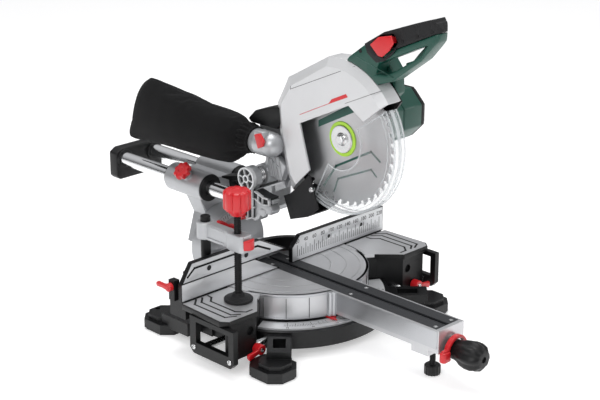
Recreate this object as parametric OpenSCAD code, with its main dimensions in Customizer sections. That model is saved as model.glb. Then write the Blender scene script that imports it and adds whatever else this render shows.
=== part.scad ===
// Sliding compound mitre saw on its own four-footed base.
// X points to the operator's right, Y away from the operator, Z up.
// The origin lies at bench level on the axis that the turntable turns about.

/* [Base] */
// Height of the work surface above the bench
table_h = 90; // [86:1:96]
// Outer radius of the base ring
ring_r = 168; // [164:1:170]
// Inner radius of the base ring
ring_bore_r = 112; // [90:1:116]
// Distance of each bench screw from the middle, left to right
bench_x = 178; // [174:1:180]
// Distance of each bench screw from the middle, front to back
bench_y = 126; // [124:1:128]
// Radius of the bench screw holes
bench_hole_r = 4.2; // [3:0.1:5]
// Thickness of the rubber foot pads
pad_t = 3; // [2:0.5:5]

/* [Table] */
// Half of the table's width, without the extensions
table_half_w = 236; // [234:1:240]
// How far the side tables reach in front of the fence
table_depth = 104; // [100:1:106]
// Thickness of the side table plates
plate_t = 6; // [4:1:8]
// Radius of the extension rods
rod_r = 6; // [5:0.5:6.5]

/* [Turntable] */
// Radius of the turning disc
disc_r = 132; // [128:1:133]
// Half of the arm's width
arm_half_w = 29; // [27:1:32]
// How far the arm reaches in front of the fence
arm_reach = 351; // [340:1:360]
// Half of the blade slot's width
slot_half_w = 4; // [3:0.5:5]
// Greatest radius of the arm's grip
grip_r = 24; // [20:1:27]

/* [Fence] */
// Thickness of the fence plates
fence_t = 8; // [6:1:8]
// Height of the right fence
fence_right_h = 44.6; // [40:0.2:50]
// Height of the lower left fence
fence_low_h = 30; // [26:1:30]
// Height of the sliding left fence's top edge
fence_high_h = 61; // [56:1:64]

/* [Rails] */
// Radius of the two rails
rail_r = 12.5; // [11:0.5:13]
// Half of the distance between the rails
rail_x = 34; // [32:1:36]
// Height of the rails above the table
rail_h = 104; // [100:1:108]
// Where the rails end behind the fence
rail_end_y = 392; // [380:1:400]

/* [Blade and head] */
// Radius of the blade
blade_r = 108; // [100:1:108]
// Thickness of the blade
blade_t = 2; // [1.6:0.2:2.4]
// Number of teeth
tooth_count = 40; // [24:4:48]
// Radius of the blade's bore
bore_r = 15; // [14:0.5:15]
// Depth of the blade's centre in front of the fence
blade_y = -122; // [-126:1:-118]
// Height of the blade's centre above the table
blade_h = 244; // [240:1:248]
// Depth of the head's hinge behind the fence
hinge_y = 40; // [38:1:42]
// Height of the head's hinge above the table
hinge_h = 153; // [151:1:156]
// Outer radius of the upper guard
guard_r = 132; // [130:1:134]
// Outer radius of the swinging lower guard
lower_guard_r = 119; // [116:1:120]
// Radius of the motor housing
motor_r = 42; // [38:1:44]

/* [Dust bag] */
// Thickness of the dust bag
bag_w = 74; // [60:1:78]
// Radius of the dust port
port_r = 21; // [18:1:22]

/* [Clamp] */
// Distance of the clamp's post from the middle
clamp_x = 161; // [159:1:163]
// Depth of the clamp's post behind the fence
clamp_post_y = 22; // [22:1:24]
// Depth of the clamp's screw in front of the fence
clamp_screw_y = -53; // [-56:1:-50]
// Greatest radius of the clamp's knob
clamp_knob_r = 22; // [18:1:24]

/* [Hidden] */
$fn = 64;

run_gap = 0.05;      // radial gap of a running fit
free_gap = 0.5;      // gap between faces that pass each other
through = 1;         // how far a cut runs past the faces it opens
circle_fn = 96;      // sides of the large circles

// Base
ring_z0 = 14;
ring_top = 42;
hub_r = 32;
hub_bore_r = 15;
hub_top = 44;
spoke_w = 24;
wing_x0 = 137;
wing_x1 = 226;
wing_top = 20;
bed_y0 = -1;
bed_y1 = 36;
foot_w = 62;
foot_d = 72;
foot_cut = 16;
foot_top = 18;
foot_x = 178;
foot_front_y = -148;
foot_rear_y = 104;
rod_z = 29;
rod_ys = [-46, -94];
rod_inner_x = 18;
fence_bolt_xs = [184, 207];
fence_bolt_y = 23;
lug_t = 8;
lug_x0 = 171;
lug_x1 = 220;
post_r = 8;
post_bore_z = 40;
scale_t = 3.2;
scale_r0 = 134.5;
scale_r1 = 160;

// Table housings
housing_z0 = wing_top;
housing_top = table_h - plate_t;
housing_wall = 7;
frame_x0 = table_half_w - 8;
frame_x1 = table_half_w + 1.5;
frame_y0 = -124;
frame_y1 = -24;
frame_z0 = 18;
frame_z1 = 80;
lock_xs = [-172, 196];
lock_r = 8.5;
lock_bore_r = 4;

// Turntable
disc_z0 = 48;
disc_skin = 8;
disc_wall = 9;
arm_z0 = 52;
arm_wall = 5;
arm_nose_z0 = 42;
arm_nose_y0 = -(arm_reach - 21);
arm_nose_y1 = -(arm_reach - 54);
insert_t = 4;
insert_half_w = 26;
insert_y0 = -(arm_reach - 8);
insert_y1 = 50;
trough_half_w = 12;
trough_z0 = 60;
grip_z = 55;
foot_screw_y = -(arm_reach - 35);
foot_screw_r = 5;
neck_r = 16;

// Bevel pivot
pedestal_r = 66;
pedestal_y0 = 130;
pedestal_y1 = 168;
pedestal_z0 = 46;
swing_disc_r = 45;
swing_disc_y1 = 190;
bevel_bolt_r = 8;
rail_z = table_h + rail_h;
rail_tube_r = 24;
housing_y0 = 156;
housing_y1 = 245;
slide_knob_tilt = 45;

// Carriage and head
hinge_z = table_h + hinge_h;
blade_z = table_h + blade_h;
bracket_x0 = 38;
bracket_x1 = 50;
bracket_y0 = 44;
bracket_y1 = 62;
rail_y0 = 46;
lock_pin_z = rail_z - 18.5;
pin_r = 8;
ear_r = 19;
barrel_r = 17;
guard_x0 = -22;
guard_x1 = 13.5;
guard_flat_x = -14;
guard_wall = 3;
guard_bevel = 14;
inner_x1 = 17;
boss_r = 30;
boss_x0 = 8;
spindle_r = 8;
motor_y = -136;
motor_z = table_h + 269;
gear_case_r = 44;
gear_case_x1 = 41;
motor_x1 = 122;
motor_x2 = 135;
handle_half_w = 15;
neck_x1 = 38;
rubber_half_w = 17;

// Clamp
clamp_top = table_h + 113;
clamp_low = table_h + 85;
screw_r = 6;

// A module that repeats its children on the left and on the right
module both_sides() {
    children();
    mirror([1, 0, 0]) children();
}

// Round bars along X, Y and Z, from one end to the other
module bar_x(r, x0, x1, y, z, sides = $fn) {
    translate([x0, y, z]) rotate([0, 90, 0]) cylinder(r = r, h = x1 - x0, $fn = sides);
}

module bar_y(r, y0, y1, x, z, sides = $fn) {
    translate([x, y1, z]) rotate([90, 0, 0]) cylinder(r = r, h = y1 - y0, $fn = sides);
}

module bar_z(r, z0, z1, x, y, sides = $fn) {
    translate([x, y, z0]) cylinder(r = r, h = z1 - z0, $fn = sides);
}

// A block between two corners
module block(low, high) {
    translate(low) cube([high[0] - low[0], high[1] - low[1], high[2] - low[2]]);
}

// A plate whose outline is drawn in Y and Z, between two values of X
module side_plate(outline, x0, x1) {
    translate([x0, 0, 0]) rotate([90, 0, 90]) linear_extrude(x1 - x0) polygon(outline);
}

// A plate whose outline is drawn in X and Z, between two values of Y
module front_plate(outline, y0, y1) {
    translate([0, y1, 0]) rotate([90, 0, 0]) linear_extrude(y1 - y0) polygon(outline);
}

// Points on an arc
function arc(r, a0, a1, steps, cx = 0, cy = 0) =
    [for (i = [0:steps]) let (a = a0 + (a1 - a0) * i / steps) [cx + r * cos(a), cy + r * sin(a)]];

// Points given above the table, lifted to the height above the bench
function lifted(points) = [for (p = points) [p[0], p[1] + table_h]];

// A rectangle with its four corners cut off
function octagon(w, d, cut) = [
    [-w / 2 + cut, -d / 2], [w / 2 - cut, -d / 2], [w / 2, -d / 2 + cut], [w / 2, d / 2 - cut],
    [w / 2 - cut, d / 2], [-w / 2 + cut, d / 2], [-w / 2, d / 2 - cut], [-w / 2, -d / 2 + cut]
];

// ---- Base ----

module foot_block(y, inner) {
    translate([foot_x, y, pad_t]) {
        linear_extrude(foot_top - pad_t) polygon(octagon(foot_w, foot_d, foot_cut));
        translate([0, -inner * 5, foot_top - pad_t - through])
            linear_extrude(9) polygon(octagon(foot_w - 14, foot_d - 24, foot_cut - 4));
    }
}

module front_leg() {
    leg_w = 38;
    window_w = 20;
    window_l = 40;
    translate([151, -134, ring_z0]) rotate(45) difference() {
        translate([-leg_w / 2, -30, 0]) cube([leg_w, 76, ring_top - ring_z0 - 4]);
        translate([-window_w / 2, -window_l / 2 + 6, -through]) cube([window_w, window_l - 6, 40]);
    }
}

module base_frame() color("#26282a") {
    leg_x1 = 172;
    difference() {
        union() {
            difference() {
                bar_z(ring_r, ring_z0, ring_top, 0, 0, circle_fn);
                bar_z(ring_bore_r, ring_z0 - through, ring_top + through, 0, 0, circle_fn);
            }
            bar_z(hub_r, ring_z0, hub_top, 0, 0);
            for (a = [0, 90, 180, 270]) rotate(a)
                block([hub_r - 6, -spoke_w / 2, ring_z0], [ring_bore_r + 6, spoke_w / 2, ring_z0 + 10]);
            both_sides() {
                block([wing_x0, bed_y0, ring_z0], [leg_x1, bed_y1, table_h]);
                block([wing_x0, bed_y0, 60], [wing_x1, bed_y1, table_h]);
                block([156, bed_y1 - 10, ring_z0], [200, 90, ring_top - 6]);
                front_leg();
                foot_block(foot_front_y, 1);
                foot_block(foot_rear_y, -1);
            }
        }
        bar_z(hub_bore_r + run_gap, 0, hub_top + through, 0, 0);
        both_sides() {
            for (y = [-bench_y, bench_y]) bar_z(bench_hole_r, 0, table_h, bench_x, y);
            for (y = rod_ys) bar_x(rod_r + free_gap, 0, wing_x1 + through, y, rod_z);
            for (x = fence_bolt_xs) bar_z(4.1, 66, table_h + through, x, fence_bolt_y);
        }
        bar_z(post_r + run_gap, post_bore_z, table_h + through, -clamp_x, clamp_post_y);
    }
}

module foot_pads() color("#151515") {
    difference() {
        both_sides() for (y = [foot_front_y, foot_rear_y]) translate([foot_x, y, 0])
            linear_extrude(pad_t) polygon(octagon(foot_w - 4, foot_d - 4, foot_cut));
        both_sides() for (y = [-bench_y, bench_y])
            bar_z(bench_hole_r, -through, pad_t + through, bench_x, y);
    }
}

// Outline of a side table, seen from above
table_outline = concat(
    [
        [table_half_w - 4, -3], [table_half_w, -93], [table_half_w - 9, -table_depth],
        [169, -table_depth], [137, -70]
    ],
    arc(disc_r + 2.5, -26, -1.4, 10)
);

// Outline of the box under a side table, drawn in the same way
function housing_outline(inset) = concat(
    [
        [227 - inset, bed_y0 - inset], [227 - inset, -96 + inset], [221 - inset, -102 + inset],
        [170 + inset / 2, -102 + inset], [139 + inset, -70 + inset / 2]
    ],
    arc(disc_r + 4 + inset, -26, -0.5, 10)
);

// A groove along a row of points on top of a side table
module groove(points) {
    groove_w = 2.2;
    groove_d = 1.2;
    for (i = [0:len(points) - 2]) let (a = points[i], b = points[i + 1])
        translate([a[0], a[1], table_h - groove_d]) rotate(atan2(b[1] - a[1], b[0] - a[0]))
            translate([-groove_w / 2, -groove_w / 2, 0]) cube([norm(b - a) + groove_w, groove_w, 3]);
}

// Three bent grooves across a side table
module chevrons() {
    groove([[207, -5], [221, -18], [221, -88], [206, -96]]);
    groove([[195, -6], [208, -19], [208, -87], [197, -95]]);
    groove([[183, -6], [184, -15], [195, -26], [195, -82], [184, -95], [172, -95]]);
}

module table_plate() color("#c9ccd0") {
    difference() {
        translate([0, 0, housing_top]) linear_extrude(plate_t) polygon(table_outline);
        chevrons();
    }
}

module table_plate_right() table_plate();
module table_plate_left() mirror([1, 0, 0]) table_plate();

module table_housing() color("#1d1f20") {
    front_hole_x = 182;
    open_x = 196;
    difference() {
        translate([0, 0, housing_z0]) linear_extrude(housing_top - housing_z0)
            polygon(housing_outline(0));
        translate([0, 0, housing_z0 - through]) linear_extrude(housing_top - housing_z0 - 3)
            polygon(housing_outline(housing_wall));
        bar_z(ring_r + 1, 0, ring_top + 1, 0, 0, circle_fn);
        // Open at its outer end and below its back wall
        block([open_x, -94, housing_z0 - through], [wing_x1 + 2, 0, housing_top - 5]);
        block([150, -12, housing_z0 - through], [open_x + through, 0, 60]);
        for (y = rod_ys) bar_x(rod_r + run_gap, 100, table_half_w + 9, y, rod_z);
        bar_y(7, -table_depth - 5, -table_depth + 7, front_hole_x, table_h - 30);
    }
}

module table_housing_right() difference() {
    table_housing();
    bar_y(lock_bore_r + run_gap, -table_depth - 5, -80, lock_xs[1], rod_z);
}
module table_housing_left() difference() {
    mirror([1, 0, 0]) table_housing();
    bar_y(lock_bore_r + run_gap, -table_depth - 5, -80, lock_xs[0], rod_z);
}

module mitre_scale() color("#d5d7da") {
    translate([0, 0, ring_top]) rotate(-152) rotate_extrude(angle = 124, $fn = circle_fn)
        translate([scale_r0, 0]) square([scale_r1 - scale_r0, scale_t]);
}

// ---- Fence ----

module fence_lug() {
    difference() {
        block([lug_x0, fence_t - through, table_h], [lug_x1, bed_y1, table_h + lug_t]);
        for (x = fence_bolt_xs) bar_z(4.1, table_h - through, table_h + 10, x, fence_bolt_y);
    }
}

module fence_left() color("#c4c7cb") {
    front_plate(lifted([[-232, 0.3], [-20, 0.3], [-76, fence_low_h], [-232, fence_low_h]]), 0, fence_t);
    mirror([1, 0, 0]) fence_lug();
}

module fence_right() color("#d9dbde") {
    difference() {
        union() {
            front_plate(
                lifted([
                    [8, 0.3], [230, 0.3], [230, fence_right_h],
                    [26, fence_right_h], [8, fence_right_h - 20]
                ]),
                0, fence_t
            );
            fence_lug();
        }
        for (x = [62, 128]) bar_y(3, -through, fence_t + through, x, table_h + 14);
    }
}

module fence_bridge() color("#1b1c1e") {
    arch_r0 = 62;
    arch_r1 = 72;
    arch_h = 24;
    translate([0, 0, table_h + 0.5]) {
        rotate(8.5) rotate_extrude(angle = 163, $fn = circle_fn)
            translate([arch_r0, 0]) square([arch_r1 - arch_r0, arch_h]);
        both_sides() translate([arch_r0 + 1, fence_t, 0]) cube([74, 10, 15]);
    }
}

module fence_guide() color("#17181a") {
    difference() {
        block([-236, 13, table_h + 0.3], [-225, 26, table_h + 34]);
        bar_x(3 + run_gap, -237, -224, 19, table_h + 24);
    }
}

module fence_bolts() color("#8c9094") {
    both_sides() for (x = fence_bolt_xs) {
        bar_z(4, 68, table_h + lug_t + through, x, fence_bolt_y);
        bar_z(6.5, table_h + lug_t, table_h + lug_t + 6, x, fence_bolt_y);
    }
}

module fence_slider() color("#c4c7cb") {
    foot_z = fence_low_h + 0.4;
    front_plate(
        lifted([[-5.5, foot_z], [-65, fence_high_h], [-210, fence_high_h], [-230, foot_z]]),
        0, fence_t
    );
    block([-218, fence_t - 1, table_h + foot_z], [-76, fence_t + 4, table_h + 46]);
    block([-218, fence_t + free_gap, table_h + 18], [-76, fence_t + 4, table_h + foot_z + 1]);
}

module fence_lock() color("#c41f2b") {
    hub_z = table_h + 24;
    bar_x(3, -244, -225.5, 19, hub_z);
    bar_x(6.5, -246, -236.4, 19, hub_z);
    block([-246, 19, hub_z - 4], [-239, 46, hub_z + 4]);
}

// ---- Table extensions ----

module extension_frame() color("#1b1c1e") {
    frame_cut = 8;
    difference() {
        side_plate([
            [frame_y0, frame_z0 + frame_cut], [frame_y0 + frame_cut, frame_z0],
            [frame_y1 - frame_cut, frame_z0], [frame_y1, frame_z0 + frame_cut],
            [frame_y1, frame_z1], [frame_y0, frame_z1]
        ], frame_x0, frame_x1);
        block([frame_x0 - through, frame_y0 + 11, 37], [frame_x1 + through, frame_y1 - 14, frame_z1 - 8]);
    }
}

module extension_rods() color("#b4b8bc") {
    for (y = rod_ys) bar_x(rod_r, rod_inner_x, frame_x0, y, rod_z);
}

module extension_frame_right() extension_frame();
module extension_frame_left() mirror([1, 0, 0]) extension_frame();
module extension_rods_right() extension_rods();
module extension_rods_left() mirror([1, 0, 0]) extension_rods();

// A clamping screw with a round head and a flat lever on it
module extension_lock(x, turn) color("#c41f2b") {
    head_y0 = -table_depth - 14;
    bar_y(lock_bore_r, head_y0 + 1, rod_ys[1] - rod_r - 0.4, x, rod_z);
    bar_y(lock_r, head_y0, -table_depth + 1, x, rod_z);
    translate([x, head_y0, rod_z]) rotate([0, turn, 0])
        translate([0, 0, -4.5]) cube([28, 6, 9]);
}

module extension_lock_left() extension_lock(lock_xs[0], 168);
module extension_lock_right() extension_lock(lock_xs[1], 12);

// ---- Turntable ----

module turntable() color("#c2c5c9") {
    groove_d = 0.8;
    difference() {
        union() {
            difference() {
                bar_z(disc_r, disc_z0, table_h, 0, 0, circle_fn);
                bar_z(disc_r - disc_wall, disc_z0 - through, table_h - disc_skin, 0, 0, circle_fn);
            }
            bar_z(26, hub_top, table_h - 1, 0, 0);
            bar_z(hub_bore_r, 15, hub_top + 2, 0, 0);
            difference() {
                block([-arm_half_w, -arm_reach, arm_z0], [arm_half_w, 0, table_h]);
                block(
                    [-arm_half_w + arm_wall, -arm_reach + 60, arm_z0 - through],
                    [arm_half_w - arm_wall, -disc_r, trough_z0 - 6]
                );
            }
            bar_y(neck_r, -arm_reach, arm_nose_y0 + 4, 0, grip_z);
            block([-arm_half_w, arm_nose_y0, arm_nose_z0], [arm_half_w, arm_nose_y1, arm_z0 + 1]);
            block([-trough_half_w - 6, -disc_r - 4, trough_z0 - 6], [trough_half_w + 6, 60, table_h - 1]);
            // Rear tongue that carries the bevel pedestal
            block([-52, 100, pedestal_z0], [52, pedestal_y0, table_h - 6]);
        }
        block(
            [-insert_half_w - 0.3, insert_y0 - 0.3, table_h - insert_t],
            [insert_half_w + 0.3, insert_y1 + 0.3, table_h + through]
        );
        block([-trough_half_w, insert_y0 + 6, trough_z0], [trough_half_w, insert_y1 - 4, table_h + through]);
        bar_z(foot_screw_r + run_gap, arm_nose_z0 - through, 57.5, 0, foot_screw_y);
        bar_y(screw_r + run_gap, -arm_reach - through, -arm_reach + 12.5, 0, grip_z);
        bar_z(5, 0, 58, 0, 0);
        // Flat for the pedestal and a pocket for the head of the bevel bolt
        block([-40, pedestal_y0, disc_z0 - through], [40, disc_r + 2, table_h + through]);
        block([-16, pedestal_y0 - 15, table_h - 16], [16, pedestal_y0 + through, table_h + through]);
        for (r = [70, 95, 118]) translate([0, 0, table_h - groove_d]) difference() {
            cylinder(r = r + 0.7, h = 3, $fn = circle_fn);
            translate([0, 0, -1]) cylinder(r = r - 0.7, h = 5, $fn = circle_fn);
            translate([-arm_half_w, -disc_r - 9, -2]) cube([2 * arm_half_w, 2 * disc_r + 20, 8]);
        }
    }
}

module bevel_pedestal() color("#b9bcc0") {
    difference() {
        union() {
            bar_y(pedestal_r, pedestal_y0, pedestal_y1, 0, table_h, circle_fn);
            block([-52, pedestal_y0, pedestal_z0], [52, pedestal_y1 - 6, table_h]);
        }
        block([-80, 100, -20], [80, 200, pedestal_z0]);
        bar_y(bevel_bolt_r, 100, 200, 0, table_h);
        bar_y(3 + run_gap, 100, pedestal_y0 + 14, -14, table_h + 34);
    }
}

module insert_plates() color("#3a3d40") {
    both_sides() difference() {
        block([slot_half_w, insert_y0, table_h - insert_t], [insert_half_w, insert_y1, table_h]);
        for (y = [-335, -159, 20]) bar_z(3, 0, table_h + through, 18, y);
    }
}

module mitre_pointer() color("#c41f2b") {
    pointer_z = ring_top + scale_t + 0.6;
    translate([-arm_half_w - 10, -138, pointer_z]) cube([10.5, 26, 2.2]);
    translate([-arm_half_w - 10, -147, pointer_z]) linear_extrude(2.2)
        polygon([[0, 9], [6, 9], [3, 0]]);
    block([-arm_half_w - 8, -126, pointer_z], [-arm_half_w - 2, -119.8, disc_z0]);
}

module pivot_bolt() color("#8c9094") {
    bar_z(4.9, 10, 57, 0, 0);
    bar_z(11, 8, 12, 0, 0);
    bar_z(9, 3, 8, 0, 0, 6);
}

module mitre_grip() color("#1b1c1e") {
    translate([0, -arm_reach - 1, grip_z]) rotate([90, 0, 0]) rotate_extrude($fn = circle_fn) polygon(concat(
        [[0, -1], [neck_r, -1], [neck_r, 14], [neck_r + 3, 24]],
        arc(12, 12, 80, 6, grip_r - 12, 46),
        [[6, 62], [0, 62]]
    ));
    bar_y(screw_r, -arm_reach - 2, -arm_reach + 12, 0, grip_z);
}

module mitre_latch() color("#c41f2b") {
    z = grip_z;
    y = -arm_reach - 14;
    difference() {
        union() {
            bar_y(neck_r + 8, y, y + 9, 0, z);
            block([-neck_r - 18, y - 4, z - 12], [-neck_r - 3, y + 9, z + 4]);
        }
        bar_y(neck_r + 2.5, y - 5, y + 10, 0, z);
        block([-30, y - 1, z - 40], [30, y + 10, z - 13]);
    }
}

module arm_foot() color("#17181a") {
    bar_z(13, 0, 16, 0, foot_screw_y);
    bar_z(foot_screw_r, 15, 48, 0, foot_screw_y);
}

// ---- Bevel arm ----

module bevel_arm() color("#c2c5c9") {
    column_w = 30;
    difference() {
        union() {
            bar_y(swing_disc_r, pedestal_y1 + 0.3, swing_disc_y1, 0, table_h);
            front_plate([
                [-swing_disc_r, table_h], [swing_disc_r, table_h],
                [column_w, table_h + 50], [rail_x + 16, rail_z - 12],
                [-rail_x - 16, rail_z - 12], [-column_w, table_h + 50]
            ], pedestal_y1 + 0.3, swing_disc_y1 + 12);
            both_sides() bar_y(rail_tube_r, housing_y0, housing_y1, rail_x, rail_z);
            block([-rail_x, housing_y0 + 4, rail_z - 14], [rail_x, housing_y1 - 4, rail_z + 12]);
            translate([-rail_x, 192, rail_z]) rotate([0, -slide_knob_tilt, 0])
                cylinder(r = 9, h = rail_tube_r + 5);
        }
        both_sides() bar_y(rail_r + run_gap, housing_y0 - 9, housing_y1 + 9, rail_x, rail_z);
        bar_y(bevel_bolt_r + run_gap, 100, 220, 0, table_h);
        translate([-rail_x, 192, rail_z]) rotate([0, -slide_knob_tilt, 0])
            cylinder(r = 4 + run_gap, h = 60);
    }
}

module rail_seals() color("#151617") {
    both_sides() difference() {
        bar_y(rail_tube_r - 2, housing_y0 - 4, housing_y0, rail_x, rail_z);
        bar_y(rail_r + 0.4, housing_y0 - 9, housing_y1, rail_x, rail_z);
    }
}

module bevel_bolt() color("#8c9094") {
    bar_y(bevel_bolt_r - 0.02, pedestal_y0 - 4, 206, 0, table_h);
    bar_y(13, pedestal_y0 - 11, pedestal_y0 - 4, 0, table_h, 6);
    bar_y(13, 203, 212, 0, table_h, 6);
}

module bevel_lever() color("#c41f2b") {
    x = -14;
    z = table_h + 34;
    bar_y(3, pedestal_y0 - 6, pedestal_y0 + 13, x, z);
    bar_y(8, pedestal_y0 - 12, pedestal_y0 - 2.4, x, z);
    translate([x, pedestal_y0 - 12, z]) rotate([0, -148, 0]) translate([0, 0, -4]) cube([38, 6, 8]);
}

module slide_knob() color("#c41f2b") {
    translate([-rail_x, 192, rail_z]) rotate([0, -slide_knob_tilt, 0]) {
        translate([0, 0, rail_r + 1]) cylinder(r = 4, h = 20);
        translate([0, 0, rail_tube_r + 6]) cylinder(r = 16, h = 13, $fn = 10);
    }
}

// ---- Carriage ----

module rails() color("#d0d3d6") {
    both_sides() difference() {
        bar_y(rail_r, rail_y0, rail_end_y, rail_x, rail_z);
        bar_y(rail_r - 3, rail_y0 + 18, rail_end_y + through, rail_x, rail_z);
    }
}

module rear_cap() color("#17181a") {
    half_w = rail_x + 18;
    difference() {
        front_plate([
            [-half_w, rail_z - 12], [-half_w + 10, rail_z - 26], [-half_w + 10, rail_z - 38],
            [half_w - 10, rail_z - 38], [half_w - 10, rail_z - 26], [half_w, rail_z - 12],
            [half_w, rail_z + 12], [half_w - 12, rail_z + 19],
            [-half_w + 12, rail_z + 19], [-half_w, rail_z + 12]
        ], rail_end_y - 9, rail_end_y + 13);
        both_sides() bar_y(rail_r, 0, rail_end_y, rail_x, rail_z);
        block([-20, 0, rail_z - 60], [20, 500, rail_z - 28]);
    }
}

module head_bracket() color("#b9bcc0") {
    difference() {
        union() {
            block([-bracket_x1, bracket_y0, rail_z - 25], [bracket_x1, bracket_y1, rail_z + 20]);
            both_sides() {
                bar_x(ear_r, bracket_x0, bracket_x1, hinge_y, hinge_z);
                side_plate([
                    [bracket_y0, rail_z + 10], [bracket_y1, rail_z + 10],
                    [hinge_y + 17, hinge_z], [hinge_y - 17, hinge_z]
                ], bracket_x0, bracket_x1);
            }
        }
        both_sides() bar_y(rail_r, rail_y0, 200, rail_x, rail_z);
        bar_x(pin_r, -60, 60, hinge_y, hinge_z);
        bar_x(4 + run_gap, -60, 0, 53, lock_pin_z);
    }
}

module head_pin() color("#8c9094") {
    bar_x(pin_r - 0.01, -bracket_x1 - 1, bracket_x1 + 3, hinge_y, hinge_z);
}

module rib_disc() color("#1b1c1e") {
    difference() {
        bar_x(ear_r, -bracket_x1 - 8, -bracket_x1 - 0.1, hinge_y, hinge_z);
        bar_x(ear_r - 8, -bracket_x1 - 9, -bracket_x1 - 5, hinge_y, hinge_z);
        bar_x(pin_r, -60, -bracket_x1 + 1, hinge_y, hinge_z);
    }
}

module lock_pin() color("#c41f2b") {
    bar_x(4, -bracket_x1 - 3, -8, 53, lock_pin_z);
    bar_x(6.5, -bracket_x1 - 11, -bracket_x1 - 0.4, 53, lock_pin_z);
}

// ---- Head ----

// Outer edge of the upper guard, a circle whose back and upper rear corner are cut into flats
function guard_edge(shrink) = concat(
    lifted([
        [-25 - shrink, 140 + shrink], [-12 - shrink, 169], [4 - shrink, 234], [9 - shrink, 279],
        [-15.7 - shrink, 325.6 - 0.7 * shrink]
    ]),
    [for (p = arc(guard_r - shrink, 82, 144, 12)) [blade_y + p[0], blade_z + p[1]]],
    [for (p = arc(guard_r - shrink, 150, 180, 4)) [blade_y + p[0], blade_z + p[1]]]
);

// Mirrors an outline that is drawn with Y growing to the right, about the blade's centre
guard_front = lifted([
    [-25, 100], [-25, 140], [-70, 185], [-61, 214], [-48, 258],
    [-153, 308], [-184, 289], [-230, 326], [-270, 326], [-270, 100]
]);

module upper_guard() color("#dcdee1") {
    difference() {
        hull() {
            side_plate(guard_edge(0), guard_flat_x, guard_x1);
            side_plate(guard_edge(guard_bevel), guard_x0, guard_flat_x);
        }
        hull() {
            side_plate(guard_edge(guard_wall), guard_flat_x + 2, guard_x1 + through);
            side_plate(guard_edge(guard_bevel + guard_wall), guard_x0 + guard_wall, guard_flat_x + 2);
        }
        side_plate(guard_front, guard_x0 - through, guard_x1 + through);
    }
}

module guard_inner() color("#141516") {
    difference() {
        side_plate(guard_edge(1), guard_x1 + 0.1, inner_x1);
        side_plate(
            lifted([
                [-60, 100], [-60, 150], [-110, 205], [-160, 215], [-205, 290], [-228, 322], [-280, 322],
                [-280, 100]
            ]),
            0, inner_x1 + through
        );
        bar_x(boss_r + 0.3, 0, 40, blade_y, blade_z);
    }
}

module chip_deflector() color("#17181a") {
    x0 = -26;
    x1 = 20.5;
    wall = 2.5;
    outline = lifted([
        [-29, 136], [-16, 131], [-31, 94], [-70, 108], [-93, 127], [-86, 148], [-74, 180]
    ]);
    cavity = lifted([
        [-33, 190], [-20.5, 131], [-34, 98.5], [-72, 112], [-100, 120], [-110, 190]
    ]);
    difference() {
        side_plate(outline, x0, x1);
        side_plate(cavity, x0 + wall, x1 - wall);
    }
}

module head_casting() color("#b4b7bb") {
    difference() {
        union() {
            bar_x(barrel_r, -22, 34, hinge_y, hinge_z);
            side_plate(lifted([
                [hinge_y + 12, hinge_h - 11], [hinge_y + 16, hinge_h + 6], [18, 226], [-60, 282],
                [-100, 232], [-46, 196], [-14, 152], [hinge_y - 12, hinge_h - 12]
            ]), inner_x1 + 0.4, 34);
            side_plate(lifted([
                [hinge_y + 12, hinge_h - 11], [hinge_y + 16, hinge_h + 6], [18, 214],
                [6, 214], [-7.5, 166], [hinge_y - 12, hinge_h - 12]
            ]), -5, inner_x1 + 0.5);
            block([22, 4, table_h + 192], [36.2, 90, table_h + 236]);
            bar_x(34, inner_x1 + 0.4, 36, blade_y, blade_z);
            bar_x(boss_r, boss_x0, inner_x1 + through, blade_y, blade_z);
            bar_x(gear_case_r, inner_x1 + 0.4, gear_case_x1, motor_y, motor_z, circle_fn);
        }
        bar_x(pin_r + run_gap, -60, 60, hinge_y, hinge_z);
        bar_x(spindle_r + run_gap, 0, 34, blade_y, blade_z);
    }
}

module motor_housing() color("#17483c") {
    translate([gear_case_x1, motor_y, motor_z]) rotate([0, 90, 0]) rotate(22.5)
        cylinder(r = motor_r + 2, h = motor_x1 - gear_case_x1, $fn = 8);
}

module motor_cap() color("#151617") {
    translate([motor_x1, motor_y, motor_z]) rotate([0, 90, 0]) rotate(22.5)
        difference() {
            cylinder(r = motor_r + 1, h = motor_x2 - motor_x1, $fn = 8);
            for (i = [-2:2]) translate([-3 + i * 12, -24, motor_x2 - motor_x1 - 3])
                cube([5, 48, 4]);
        }
}

// Where the rubber meets the shell along the handle
handle_split = [[-186, 396], [-240, 409], [-312, 442.4], [-321, 445]];

// The handle narrows to a round end, seen from above
module handle_plan() hull() {
    translate([-20, -185, 0]) cube([40, 60, table_h + 500]);
    translate([0, -308, 0]) cylinder(r = 13, h = table_h + 500);
}

module handle_shell() color("#17483c") {
    root = [for (p = arc(guard_r + 0.6, 97, 128, 6)) [blade_y + p[0], blade_z + p[1]]];
    difference() {
        union() {
            intersection() {
                handle_plan();
                side_plate(concat(root, lifted([
                    [-233, 359], [-288, 400], [-316, 432], [-320.5, 444.5], [-312, 442],
                    [-240, 408.6], [-186, 395.6], [-178, 405], [-146, 382]
                ])), -handle_half_w, handle_half_w);
            }
            side_plate(
                concat(root, lifted([[-218, 358], [-186, 396], [-146, 384]])),
                handle_half_w - 1, neck_x1
            );
            difference() {
                side_plate(
                    lifted([[-146, 383], [-142, 298], [-190, 290], [-214, 330], [-210, 360]]),
                    inner_x1 + 0.4, neck_x1
                );
                bar_x(gear_case_r, 0, 60, motor_y, motor_z, circle_fn);
            }
        }
        side_plate(lifted([
            [-200, 364], [-206, 382], [-245, 400], [-283, 418], [-298, 424.6],
            [-288, 408.7], [-245, 380], [-222, 367]
        ]), -40, handle_half_w + through);
    }
}

trigger_outline = lifted([[-198, 410.4], [-214, 425], [-238, 428], [-239, 419], [-215, 406], [-205, 404]]);

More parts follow.
